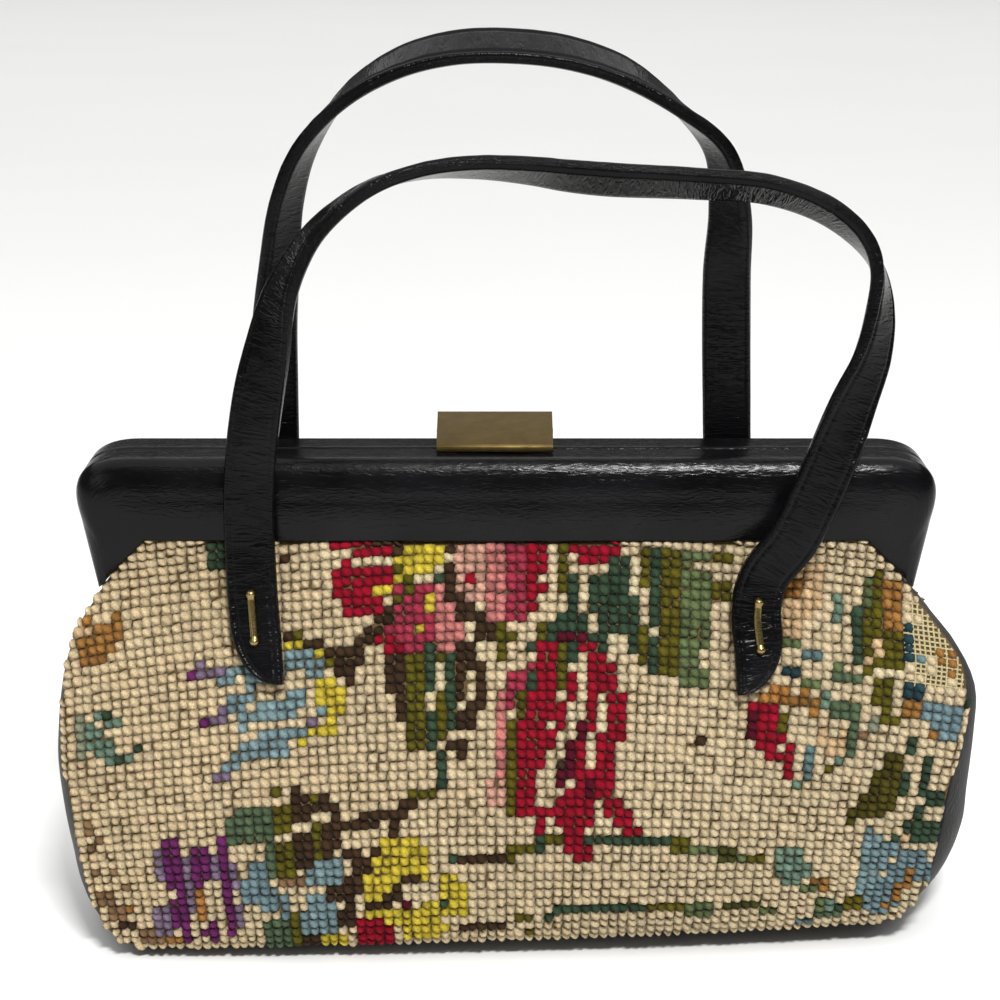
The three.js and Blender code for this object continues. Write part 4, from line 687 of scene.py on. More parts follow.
def lay_grain(piece, rings):
    """Layout of a lofted piece for its grain: distance along the rings and round them, in metres."""
    along = np.linalg.norm(np.diff(rings.mean(axis=1), axis=0), axis=1).cumsum()
    around = np.linalg.norm(np.diff(rings, axis=1), axis=2).cumsum(axis=1)
    flat = np.zeros((*rings.shape[:2], 2))
    flat[1:, :, 0] = along[:, None]
    flat[:, 1:, 1] = around
    corners = np.empty(len(piece.data.loops), int)
    piece.data.loops.foreach_get("vertex_index", corners)
    layout = piece.data.uv_layers.new(name="grain")
    layout.data.foreach_set("uv", (flat.reshape(-1, 2) * MM)[corners].astype(np.float32).ravel())


def grid_inset(grid, thickness):
    """Grid moved by a thickness square to its own surface, along the turn of its rows into its columns."""
    along = np.gradient(grid, axis=0)
    across = np.gradient(grid, axis=1)
    normal = np.cross(along, across)
    return grid + normal / np.linalg.norm(normal, axis=-1, keepdims=True) * thickness


# Materials

# Sockets of a mix of two colours
MIX_FIRST, MIX_SECOND, MIX_RESULT = 6, 7, 2


def node(tree, kind, inputs=None, **settings):
    """Adds a shader node with its settings; an input is a value or the output that feeds it."""
    made = tree.nodes.new(kind)
    for name, value in settings.items():
        setattr(made, name, value)
    for name, value in (inputs or {}).items():
        if isinstance(value, bpy.types.NodeSocket):
            tree.links.new(value, made.inputs[name])
        else:
            made.inputs[name].default_value = value
    return made


def new_material(name, **values):
    """A material with its shader's values that are the same all over."""
    material = bpy.data.materials.new(name)
    material.use_nodes = True
    shader = material.node_tree.nodes["Principled BSDF"]
    for socket, value in values.items():
        shader.inputs[socket.replace("_", " ")].default_value = value
    return material, material.node_tree, shader


def colour(hex_colour):
    """sRGB hex as a shader's colour."""
    return (*linear(hex_colour), 1.0)


def per_mm(size):
    """Texture scale for a pattern of that size in millimetres, in a space of metres."""
    return 1 / (size * MM)


def wool_material():
    """Spun tapestry wool: dull and slightly fuzzy, so the colour is soft and the strands have no shine."""
    material, tree, shader = new_material("tapestry_wool_spun", Roughness=0.92, Sheen_Weight=0.03,
                                          Sheen_Roughness=0.6, Specular_IOR_Level=0.06)
    place = node(tree, "ShaderNodeTexCoord").outputs["Object"]
    # The wool attribute is each stitch's wool colour with the painted shade of its strands
    wool = node(tree, "ShaderNodeAttribute", attribute_name="wool").outputs["Color"]
    # Fibres are far finer than this and wouldn't show, so they are drawn as tufts of about half a millimetre
    fuzz = node(tree, "ShaderNodeTexNoise", {"Vector": place, "Scale": per_mm(0.55), "Detail": 3.0})
    tone = node(tree, "ShaderNodeMapRange", {"Value": fuzz.outputs["Fac"], "From Min": 0.3, "From Max": 0.7,
                                             "To Min": 0.62, "To Max": 1.1})
    tinted = node(tree, "ShaderNodeVectorMath", {0: wool, "Scale": tone.outputs["Result"]},
                  operation="SCALE")
    tree.links.new(tinted.outputs["Vector"], shader.inputs["Base Color"])
    bump = node(tree, "ShaderNodeBump", {"Height": fuzz.outputs["Fac"], "Strength": 0.6,
                                         "Distance": 0.25 * MM})
    tree.links.new(bump.outputs["Normal"], shader.inputs["Normal"])
    return material


def canvas_material():
    """Woven cotton needlepoint canvas, yellowed: dull and rough, its colours darkened to paint the shade in
    the holes between stitches.
    """
    material, tree, shader = new_material("needlepoint_canvas_cotton", Roughness=0.95,
                                          Specular_IOR_Level=0.2)
    place = node(tree, "ShaderNodeTexCoord").outputs["Object"]
    canvas_mottle = node(tree, "ShaderNodeTexNoise", {"Vector": place, "Scale": per_mm(2.2), "Detail": 4.0})
    # Painted shade: both canvas colours are far darker than the bare threads, for the shade in the holes
    # between stitches
    mixed = node(tree, "ShaderNodeMix",
                 {0: canvas_mottle.outputs["Fac"], MIX_FIRST: colour("4a3b23"), MIX_SECOND: colour("6f5b39")},
                 data_type="RGBA")
    tree.links.new(mixed.outputs[MIX_RESULT], shader.inputs["Base Color"])
    weave = node(tree, "ShaderNodeTexNoise", {"Vector": place, "Scale": per_mm(0.5), "Detail": 2.0})
    bump = node(tree, "ShaderNodeBump", {"Height": weave.outputs["Fac"], "Strength": 0.7,
                                         "Distance": 0.3 * MM})
    tree.links.new(bump.outputs["Normal"], shader.inputs["Normal"])
    return material


def leather_material(name, crease, depth, pore, gloss, polish, laid=True):
    """Black calf with a crimped grain: semi-gloss, its fine folds breaking the highlights into short lines.
    crease is the length of a fold along the piece and across it and depth how deep it is, in millimetres.
    pore is how high the pores stand beside the folds, gloss the least and most roughness, and polish the
    specular level. Laid leather takes its grain from the piece's own layout."""
    material, tree, shader = new_material(name, IOR=1.48, Specular_IOR_Level=polish)
    place = node(tree, "ShaderNodeTexCoord").outputs["Object"]
    if laid:
        flat = node(tree, "ShaderNodeUVMap", uv_map="grain").outputs["UV"]
    else:
        flat = place
    scale = [per_mm(size) for size in crease]
    stretched = node(tree, "ShaderNodeMapping", {"Vector": flat, "Scale": scale})
    folds = node(tree, "ShaderNodeTexNoise", {"Vector": stretched.outputs["Vector"], "Scale": 1.0,
                                              "Detail": 2.0, "Roughness": 0.55, "Distortion": 0.5})
    middle = node(tree, "ShaderNodeMath", {0: folds.outputs["Fac"], 1: 0.5}, operation="SUBTRACT")
    ridge = node(tree, "ShaderNodeMath", {0: middle.outputs["Value"]}, operation="ABSOLUTE")
    # Pores are drawn a few times as coarse as real ones, so that they show
    pores = node(tree, "ShaderNodeTexNoise", {"Vector": place, "Scale": per_mm(0.7), "Detail": 2.0})
    relief = node(tree, "ShaderNodeMath", {0: pores.outputs["Fac"], 1: pore, 2: ridge.outputs["Value"]},
                  operation="MULTIPLY_ADD")
    handled = node(tree, "ShaderNodeTexNoise", {"Vector": place, "Scale": per_mm(26), "Detail": 4.0})
    worn = node(tree, "ShaderNodeMapRange", {"Value": handled.outputs["Fac"], "From Min": 0.42,
                                             "From Max": 0.75})
    mixed = node(tree, "ShaderNodeMix",
                 {0: worn.outputs["Result"], MIX_FIRST: colour("060607"), MIX_SECOND: colour("111113")},
                 data_type="RGBA")
    shine = node(tree, "ShaderNodeMapRange", {"Value": handled.outputs["Fac"], "From Min": 0.3,
                                              "From Max": 0.7, "To Min": gloss[0], "To Max": gloss[1]})
    bump = node(tree, "ShaderNodeBump", {"Height": relief.outputs["Value"], "Strength": 1.0,
                                         "Distance": depth * MM})
    tree.links.new(mixed.outputs[MIX_RESULT], shader.inputs["Base Color"])
    tree.links.new(shine.outputs["Result"], shader.inputs["Roughness"])
    tree.links.new(bump.outputs["Normal"], shader.inputs["Normal"])
    return material


def brass_material(name, tones, polish):
    """Brass brushed along its length and dulled by age: broad soft reflections with fine lines.
    tones are its darkest and palest colours, polish its least and most roughness."""
    material, tree, shader = new_material(name, Metallic=1.0)
    place = node(tree, "ShaderNodeTexCoord").outputs["Object"]
    # Brush marks are drawn about three times as coarse as real ones, so that they show
    scale = (per_mm(4), per_mm(0.5), per_mm(0.5))
    stretched = node(tree, "ShaderNodeMapping", {"Vector": place, "Scale": scale})
    brushed = node(tree, "ShaderNodeTexNoise", {"Vector": stretched.outputs["Vector"], "Scale": 1.0,
                                                "Detail": 3.0})
    tarnish = node(tree, "ShaderNodeTexNoise", {"Vector": place, "Scale": per_mm(5), "Detail": 5.0})
    mixed = node(tree, "ShaderNodeMix",
                 {0: tarnish.outputs["Fac"], MIX_FIRST: colour(tones[0]), MIX_SECOND: colour(tones[1])},
                 data_type="RGBA")
    gloss = node(tree, "ShaderNodeMapRange", {"Value": brushed.outputs["Fac"], "From Min": 0.3,
                                              "From Max": 0.7, "To Min": polish[0], "To Max": polish[1]})
    bump = node(tree, "ShaderNodeBump", {"Height": brushed.outputs["Fac"], "Strength": 0.5,
                                         "Distance": 0.06 * MM})
    tree.links.new(mixed.outputs[MIX_RESULT], shader.inputs["Base Color"])
    tree.links.new(gloss.outputs["Result"], shader.inputs["Roughness"])
    tree.links.new(bump.outputs["Normal"], shader.inputs["Normal"])
    return material


def floor_material():
    """Matt white studio board: pale and even, with no shine."""
    material, tree, shader = new_material("studio_board_matt", Roughness=0.9, Specular_IOR_Level=0.1)
    place = node(tree, "ShaderNodeTexCoord").outputs["Object"]
    tone = node(tree, "ShaderNodeTexNoise", {"Vector": place, "Scale": per_mm(400)})
    mixed = node(tree, "ShaderNodeMix",
                 {0: tone.outputs["Fac"], MIX_FIRST: colour("eeeeec"), MIX_SECOND: colour("f2f2f0")},
                 data_type="RGBA")
    tree.links.new(mixed.outputs[MIX_RESULT], shader.inputs["Base Color"])
    return material


WOOL = wool_material()
CANVAS = canvas_material()
FRAME_LEATHER = leather_material("calf_frame_crimped_grain", crease=(6.0, 1.5, 1.0), depth=0.24, pore=0.015,
                                 gloss=(0.19, 0.25), polish=0.16)
GUSSET_LEATHER = leather_material("calf_gusset_smooth", crease=(4.0, 4.0, 4.0), depth=0.4, pore=0.12,
                                  gloss=(0.42, 0.54), polish=0.09, laid=False)
STRAP_LEATHER = leather_material("calf_strap_creased", crease=(1.8, 9.0, 1.0), depth=0.65, pore=0.03,
                                 gloss=(0.18, 0.25), polish=0.11)
BRASS = brass_material("brass_brushed_dulled", ("4a3e24", "625231"), (0.36, 0.52))
STAPLE_BRASS = brass_material("brass_rod_rubbed", ("7d6b42", "a08d5e"), (0.24, 0.34))


# Needlepoint

def stitch_frames(column, row, facing):
    """Middle of each stitch on the canvas, its directions across, down and out, and half its sizes."""
    left, right = grid_point(column - 0.5, row, facing), grid_point(column + 0.5, row, facing)
    top, bottom = grid_point(column, row - 0.5, facing), grid_point(column, row + 0.5, facing)
    across, down = right - left, bottom - top
    half_width = np.linalg.norm(across, axis=1) / 2
    half_height = np.linalg.norm(down, axis=1) / 2
    across /= np.maximum(2 * half_width, LEAST_HALF_SIZE)[:, None]
    out = np.cross(down, across)
    out *= np.where(out[:, 1] * facing > 0, 1, -1)[:, None]
    out /= np.maximum(np.linalg.norm(out, axis=1), LEAST_HALF_SIZE)[:, None]
    down = np.cross(out, across)
    down *= np.where(down[:, 2] < 0, 1, -1)[:, None]
    middle = (left + right + top + bottom) / 4 - out * CANVAS_DEPTH
    return middle, across, down, out, half_width, half_height


def cells():
    """Column and row of the middle of every stitch that is at least partly inside a panel's edge."""
    column, row = np.meshgrid(np.array(COLUMNS) + 0.5, np.array(ROWS) + 0.5)
    column, row = column.ravel(), row.ravel()
    half_width, half_height = stitch_frames(column, row, FRONT)[-2:]
    fits = (half_width > LEAST_HALF_SIZE) & (half_height > LEAST_HALF_SIZE)
    return column[fits], row[fits]


def strands(frames, jitter, kind, stations, section):
    """One strand of every stitch: points, quads over it, quads under it, ends, and how lit each point is."""
    middle, across, down, out, half_width, half_height = frames
    turn, grow, shift_across, shift_down, lift = (part[:, None, None] for part in jitter)
    lean, reach, strand_half, height, tone = kind
    wide, high = np.array(section).T
    along = (stations * reach)[None, :, None] * STITCH_HALF
    taper = np.sqrt(np.maximum(1 - np.abs(stations) ** TAPER_POWER, LEAST_TAPER))
    rise = np.sqrt(np.maximum(1 - np.abs(stations) ** RISE_POWER, LEAST_RISE))
    offset = np.outer(taper, wide) * strand_half * math.sqrt(0.5)
    narrow = (half_width / STITCH_HALF)[:, None, None]
    low = (half_height / STITCH_HALF)[:, None, None]
    up = np.outer(rise, high) * height
    a = (along + offset) * narrow * grow
    b = lean * (along - offset) * low * grow
    cos, sin = np.cos(turn), np.sin(turn)
    a, b = a * cos - b * sin + shift_across, a * sin + b * cos + shift_down
    points = (middle[:, None, None] + a[..., None] * across[:, None, None]
              + b[..., None] * down[:, None, None] + (up * lift)[..., None] * out[:, None, None])
    # Painted shade: each point's colour darkens towards the strand's foot and ends, and by the strand's tone
    height_shade = np.outer(END_SHADE + (1 - END_SHADE) * rise, high)
    lit = (GAP_SHADE + (1 - GAP_SHADE) * height_shade) * tone
    count, rows, sides = len(middle), len(stations), len(wide)
    index = np.arange(count * rows * sides).reshape(count, rows, sides)
    near, far = index[:, :-1], index[:, 1:]
    over = np.stack([near[..., :-1], near[..., 1:], far[..., 1:], far[..., :-1]], axis=-1)
    under = np.stack([near[..., -1], near[..., 0], far[..., 0], far[..., -1]], axis=-1)
    ends = np.concatenate([index[:, 0, ::-1], index[:, -1]])
    points = points.reshape(-1, 3)
    faces = facing_out(points, [over.reshape(-1, 4), under.reshape(-1, 4), ends])
    return points, faces, np.broadcast_to(lit, (count, rows, sides)).reshape(-1)


def stitched_piece(name, column, row, colours, facing, stations, section):
    """Cross stitches with a strand of wool along each diagonal, the upper one falling to the right."""
    frames = stitch_frames(column, row, facing)
    count = len(column)
    jitter = (
        rng.normal(0, STITCH_TURN, count), 1 + rng.normal(0, STITCH_GROWTH, count),
        rng.normal(0, STITCH_SHIFT, count), rng.normal(0, STITCH_SHIFT, count),
        1 + rng.normal(0, STITCH_LIFT, count),
    )
    points, shades, groups, first = [], [], ([], [], []), 0
    per_strand = len(stations) * len(section)
    for kind in STRANDS:
        strand_points, faces, lit = strands(frames, jitter, kind, stations, section)
        points.append(strand_points)
        # Each point's wool colour is darkened by the painted shade of its strand
        shades.append(np.repeat(colours, per_strand, axis=0) * lit[:, None])
        for group, made in zip(groups, faces):
            group.append(made + first)
        first += len(strand_points)
    points = np.concatenate(points)
    faces = [np.concatenate(group) for group in groups]
    piece = new_piece(name, points, faces, WOOL, "needlepoint_wool")
    mesh = piece.data
    wool = mesh.attributes.new("wool", "FLOAT_COLOR", "POINT")
    rgba = np.concatenate([np.concatenate(shades), np.ones((len(points), 1))], axis=1)
    wool.data.foreach_set("color", rgba.astype(np.float32).ravel())
    # Seen straight on, each stitch has its own place in the layout; hidden faces take no room in it
    low, high = points.min(axis=0), points.max(axis=0)
    flat = ((points - low) / (high - low))[:, [0, 2]]
    shown = [faces[0].ravel()] + [np.repeat(group[:, 0], group.shape[1]) for group in faces[1:]]
    layout = mesh.uv_layers.new(name="OFBake")
    layout.data.foreach_set("uv", flat[np.concatenate(shown)].astype(np.float32).ravel())
    return piece


def canvas_piece(name, facing, node_name):
    """Canvas under the stitches, its rim turned back over the gusset's edge."""
    level = np.linspace(PANEL_TOP, PANEL_BOTTOM, CANVAS_ROWS)[:, None]
    across = np.linspace(-1, 1, CANVAS_COLUMNS)[None, :]
    x = across * (panel_half(level) + EDGE_OVERHANG[facing])
    level = np.broadcast_to(level, x.shape)
    outer = panel_point(x, level, facing, -CANVAS_DEPTH)
    inner = panel_point(x, level, facing, -CANVAS_DEPTH - CANVAS_THICKNESS)
    return new_piece(name, *wall(outer, inner), CANVAS, "needlepoint_wool", [node_name])


def wool_colours(names, column, row):
    """Linear colour of each stitch: its wool, with the dye and fading varying from stitch to stitch."""
    palette = {name: linear(value) for name, value in WOOLS.items()}
    colours = np.array([palette[name] for name in names])
    ground = (names == "ground") | (names == "cream")
    wave = np.sin(column * DRIFT_ACROSS + DRIFT_START) * np.sin(row * DRIFT_DOWN + column * DRIFT_SLANT)
    spread = rng.normal(0, np.where(ground, GROUND_SPREAD, FLOWER_SPREAD))
    bright = 1 + spread + np.where(ground, wave * GROUND_DRIFT, 0)
    warm = np.clip(-column / WARM_COLUMNS, LEAST_WARMTH, MOST_WARMTH)
    warm = warm + rng.normal(0, WARMTH_SPREAD, len(column))
    tint = 1 + np.outer(np.where(ground, warm, 0), WARM_TINT)
    return np.clip(colours * bright[:, None] * tint, 0, 1)


def worn_away(column, row):
    """Which stitches of the right edge have lost their wool."""
    patch = ((column > WORN_COLUMNS[0]) & (column < WORN_COLUMNS[1])
             & (row > WORN_ROWS[0]) & (row < WORN_ROWS[1]))
    return patch & (rng.random(len(column)) < WORN_SHARE)


def bare_threads():
    """Canvas threads that show where the wool is gone, two to a stitch down and across the worn patch."""
    margin = THREAD_SPACING
    along_columns = np.linspace(WORN_COLUMNS[0] - margin, WORN_COLUMNS[1] + margin, THREAD_RINGS)
    along_rows = np.linspace(WORN_ROWS[0] - margin, WORN_ROWS[1] + margin, THREAD_RINGS)
    lines = []
    for column in np.arange(WORN_COLUMNS[0], WORN_COLUMNS[1] + margin / 2, THREAD_SPACING):
        lines.append((np.full(THREAD_RINGS, column), along_rows))
    for row in np.arange(WORN_ROWS[0], WORN_ROWS[1] + margin / 2, THREAD_SPACING):
        lines.append((along_columns, np.full(THREAD_RINGS, row)))
    angles = np.linspace(0, 2 * math.pi, THREAD_SIDES, endpoint=False)
    round_side, round_out = np.cos(angles)[None, :, None], np.sin(angles)[None, :, None]
    points, faces, first = [], [], 0
    for column, row in lines:
        x, level = stitch_place(column, row, FRONT)
        fits = np.abs(x) < panel_half(level)
        if fits.sum() < LEAST_RINGS:
            continue
        lift = -CANVAS_DEPTH + THREAD_LIFT + rng.normal(0, THREAD_WAVER, fits.sum())
        middle = panel_point(x[fits], level[fits], FRONT, lift)
        tangent = np.gradient(middle, axis=0)
        tangent /= np.linalg.norm(tangent, axis=1)[:, None]
        side = np.cross(tangent, (0, -1, 0))
        side /= np.linalg.norm(side, axis=1)[:, None]
        out = np.cross(side, tangent)
        ring = THREAD_HALF * (round_side * side[:, None] + round_out * out[:, None])
        made, quads = loft(middle[:, None] + ring)
        points.append(made)
        faces.append([group + first for group in quads])
        first += len(made)
    joined = [np.concatenate(groups) for groups in zip(*faces)]
    piece = new_piece("canvas_bare_threads", np.concatenate(points), joined, WOOL, "needlepoint_wool")
    wool = piece.data.attributes.new("wool", "FLOAT_COLOR", "POINT")
    wool.data.foreach_set("color", np.tile(colour(BARE_THREAD), first).astype(np.float32))
    return piece


def needlepoint():
    """Both panels: the canvas sheets with their stitches."""
    column, row = cells()
    names = charted(column, row)
    kept = ~worn_away(column, row)
    column, row, names = column[kept], row[kept], names[kept]
    colours = wool_colours(names, column, row)
    ground = names == "ground"
    front = [bare_threads()]
    for name, chosen in (("stitches_ground_left", ground & (column < 0)),
                         ("stitches_ground_right", ground & (column >= 0)), ("stitches_flowers", ~ground)):
        front.append(stitched_piece(name, column[chosen], row[chosen], colours[chosen], FRONT,
                                    FRONT_STATIONS, STRAND_SECTION))
    column, row = cells()
    colours = wool_colours(np.full(len(column), "ground", dtype=object), column, row)
    back = []
    for name, chosen in (("stitches_back_left", column < 0), ("stitches_back_right", column >= 0)):
        back.append(stitched_piece(name, column[chosen], row[chosen], colours[chosen], BACK,
                                   BACK_STATIONS, BACK_SECTION))
    for side, facing, stitches in (("front", FRONT, front), ("back", BACK, back)):
        sheet = canvas_piece(f"canvas_{side}", facing, f"{side}_panel")


# Leather

def seam_line():
    """Where the gusset meets the back of the front panel's rim, from the left ear round to the right ear."""
    fall = (1 - np.arange(SEAM_SIDE_STEPS) / SEAM_SIDE_STEPS) ** ROW_CROWDING
    side_levels = PANEL_BOTTOM + (GUSSET_TOP - PANEL_BOTTOM) * fall
    bottom_across = np.linspace(-1, 1, SEAM_BOTTOM_STEPS + 1)
    left, right = np.full(SEAM_SIDE_STEPS, -1.0), np.full(SEAM_SIDE_STEPS, 1.0)
    across = np.concatenate([left, bottom_across, right])
    level = np.concatenate([side_levels, np.full(SEAM_BOTTOM_STEPS + 1, PANEL_BOTTOM), side_levels[::-1]])
    x = across * panel_half(level)
    flat = panel_flat_point(x, level, FRONT)
    lifted = panel_point(x, level, FRONT, -PANEL_WALL) - turned(flat) + flat
    lifted[:, 1] += GAP
    return lifted, level, across


def gusset():
    """Band of leather under the bag and up both sides, flat where the bag stands on it."""
    point, level, across = seam_line()
    along = np.empty_like(point)
    along[1:-1] = point[2:] - point[:-2]
    along[0], along[-1] = point[1] - point[0], point[-1] - point[-2]
    outward = np.stack([along[:, 2], np.zeros(len(along)), -along[:, 0]], axis=-1)
    outward /= np.linalg.norm(outward, axis=1)[:, None]
    down = np.maximum(-outward[:, 2], 0)
    left, right = (smooth_column(GUSSET_SWELL, level, side) for side in (1, 2))
    swell = np.where(across < 0, left, right)
    to_floor = point[:, 2] / np.maximum(down, LEAST_DOWN)
    swell = np.where(down > LEAST_DOWN, np.minimum(swell, to_floor), swell)
    swell = np.where(down > RESTING_DOWN, to_floor, swell)
    base_share = down**BASE_POWER
    run = point[:, 2] / BASE_CURL_SLOPE / np.abs(point[:, 1])
    flat = SIDE_FLAT_SHARE + (1 - run - SIDE_FLAT_SHARE) * base_share
    bend = SIDE_BEND + (BASE_BEND - SIDE_BEND) * base_share
    share = np.linspace(-1, 1, BAND_STEPS)[None, :]
    past = np.maximum(0, (np.abs(share) - flat[:, None]) / (1 - flat[:, None]))
    out = swell[:, None] * (1 - past ** bend[:, None])
    grid = np.stack([np.broadcast_to(point[:, :1], out.shape), -share * point[:, 1:2],
                     np.broadcast_to(point[:, 2:], out.shape)], axis=-1)
    grid = grid + outward[:, None] * out[..., None]
    points, faces = wall(grid, grid_inset(grid, GUSSET_WALL))
    return new_piece("gusset_band", turned(points), faces, GUSSET_LEATHER, "gusset_leather", ["gusset"])


def frame_outline():
    """Rim of the frame from ear to ear over the top, its face's lower edge, and the share up from the ear."""
    t = np.linspace(0, 1, RIM_SIDE_STEPS + 1)[:, None]
    side = EAR_TIP + (SIDE_TOP - EAR_TIP) * t
    t = np.linspace(0, 1, RIM_CORNER_STEPS + 1)[1:, None]
    corner = (1 - t) ** 2 * SIDE_TOP + 2 * t * (1 - t) * CORNER_PULL + t**2 * TOP_END
    rim = np.concatenate([side, corner])
    share = np.concatenate([np.linspace(0, CORNER_SHARE, RIM_SIDE_STEPS + 1),
                            np.linspace(CORNER_SHARE, 1, RIM_CORNER_STEPS + 1)[1:]])
    level = SLANT_LOW + GAP + (FACE_LOWER_EDGE - SLANT_LOW - GAP) * share
    lower = np.stack([panel_half(level - GAP) + LOWER_EDGE_GAP, level], axis=-1)
    across = np.linspace(-1, 1, RIM_TOP_STEPS + 1)[1:-1]
    rim_top = np.stack([across * TOP_END[0], np.full(len(across), FRAME_TOP)], axis=-1)
    lower_top = np.stack([across * lower[-1, 0], np.full(len(across), FACE_LOWER_EDGE)], axis=-1)
    mirror = np.array((-1, 1))
    return (np.concatenate([rim * mirror, rim_top, rim[::-1]]),
            np.concatenate([lower * mirror, lower_top, lower[::-1]]),
            np.concatenate([share, np.ones(len(across)), share[::-1]]))


def frame_half(facing):
    """Leather covered half of the frame: over the top, down the face and rolled under at its lower edge."""
    quarter = math.pi / 2
    rings = []
    for rim, lower, share in zip(*frame_outline()):
        depth = EAR_DEPTH + (FACE_DEPTH - EAR_DEPTH) * math.sin(share * quarter)
        up = min(share / FULL_SHARE, 1)
        round_size = EAR_ROUND + (TOP_ROUND - EAR_ROUND) * up
        round_fall = EAR_ROUND + (FACE_ROUND - EAR_ROUND) * up
        thick = EAR_WALL + (FRAME_WALL - EAR_WALL) * up
        width = np.linalg.norm(lower - rim)
        inward = (lower - rim) / width
        end = width + FACE_OVERHANG - thick / 2
        lower_depth = float(panel_depth(lower[0], lower[1] - GAP)) + FACE_PADDING * up
        section = []
        for angle in np.linspace(0, quarter, EASE_POINTS):
            section.append((RIM_EASE * (1 - math.sin(angle)), FRAME_SPLIT + RIM_EASE * (1 - math.cos(angle))))
        top = np.linspace(FRAME_SPLIT + RIM_EASE, depth - round_size, TOP_POINTS)
        section += [(0, y) for y in top[1:-1]]
        for angle in np.linspace(0, quarter, ROUND_POINTS):
            section.append((round_fall * (1 - math.cos(angle)), depth - round_size * (1 - math.sin(angle))))
        for t in np.linspace(0, 1, FACE_POINTS)[1:]:
            swell = FACE_SWELL * share * 4 * t * (1 - t)
            section.append((round_fall + (end - round_fall) * t, depth + (lower_depth - depth) * t + swell))
        outer = np.array(section)
        tangent = np.gradient(outer, axis=0)
        tangent /= np.linalg.norm(tangent, axis=1)[:, None]
        inner = outer + np.stack([tangent[:, 1], -tangent[:, 0]], axis=-1) * thick
        middle = (outer[-1] + inner[-1]) / 2
        roll = []
        for angle in np.linspace(0, math.pi, ROLL_POINTS)[1:-1]:
            reach = (outer[-1] - middle) * math.cos(angle) + tangent[-1] * thick / 2 * math.sin(angle)
            roll.append(middle + reach)
        fall, out = np.concatenate([outer, roll, inner[::-1]]).T
        rings.append(np.stack([rim[0] + inward[0] * fall, facing * out, rim[1] + inward[1] * fall], axis=-1))
    rings = np.array(rings)
    name = "front" if facing == FRONT else "back"
    piece = new_piece(f"frame_{name}_leather", *loft(rings), FRAME_LEATHER, "frame_leather",
                      [f"frame_{name}"])
    piece.data.set_sharp_from_angle(angle=FRAME_SHARP)
    lay_grain(piece, rings)
    return piece


def strap_line(table, facing):
    """Middle line of a strap: its points, its directions out and across, and the distance along it."""
    knots = []
    for x, out, z, roll in table:
        if out is None:
            out = float(panel_depth(abs(x) - STRAP_WIDTH / 2, z)) + STRAP_THICKNESS / 2 + STRAP_LIFT
        knots.append((x, facing * out, z))
    knots = np.array(knots)
    padded = np.vstack([2 * knots[0] - knots[1], knots, 2 * knots[-1] - knots[-2]])
    # Steps by the root of the distance keep the curve from looping where knots are close
    gaps = np.linalg.norm(np.diff(padded, axis=0), axis=1) ** 0.5
    t = np.linspace(0, 1, KNOT_STEPS, endpoint=False)[:, None]
    dense, place = [], []
    for i in range(len(knots) - 1):
        p0, p1, p2, p3 = padded[i:i + 4]
        d0, d1, d2 = gaps[i:i + 3]
        start = ((p1 - p0) / d0 - (p2 - p0) / (d0 + d1) + (p2 - p1) / d1) * d1
        end = ((p2 - p1) / d1 - (p3 - p1) / (d1 + d2) + (p3 - p2) / d2) * d1
        dense.append(hermite(p1, p2, start, end, t))
        place.append(i + t[:, 0])
    dense = np.vstack([*dense, knots[-1:]])
    place = np.append(np.concatenate(place), len(knots) - 1)
    run = np.concatenate([[0], np.cumsum(np.linalg.norm(np.diff(dense, axis=0), axis=1))])
    along = np.linspace(0, run[-1], STRAP_STEPS + 1)
    point = np.stack([np.interp(along, run, dense[:, k]) for k in range(3)], axis=-1)
    roll = np.interp(np.interp(along, run, place), range(len(table)), [row[3] for row in table])
    soft = np.hanning(ROLL_SMOOTHING) / np.hanning(ROLL_SMOOTHING).sum()
    padded_roll = np.pad(roll, ROLL_SMOOTHING // 2, mode="edge")
    roll = np.radians(np.convolve(padded_roll, soft, mode="valid"))
    tangent = np.gradient(point, axis=0)
    tangent /= np.linalg.norm(tangent, axis=1)[:, None]
    outward = np.stack([-tangent[:, 2], np.zeros(len(point)), tangent[:, 0]], axis=-1)
    outward /= np.linalg.norm(outward, axis=1)[:, None]
    normal = outward * np.sin(roll)[:, None]
    normal[:, 1] += facing * np.cos(roll)
    normal -= tangent * np.einsum("ij,ij->i", normal, tangent)[:, None]
    normal /= np.linalg.norm(normal, axis=1)[:, None]
    return point, normal, np.cross(normal, tangent), along


def strap_ripple(along, across):
    """Shallow waves across a strap that has been carried, in millimetres."""
    wave = 0.0
    for size, height, lean, start in STRAP_WAVES:
        wave = wave + height * np.sin(2 * math.pi * (along + lean * across * size) / size + start)
    return wave


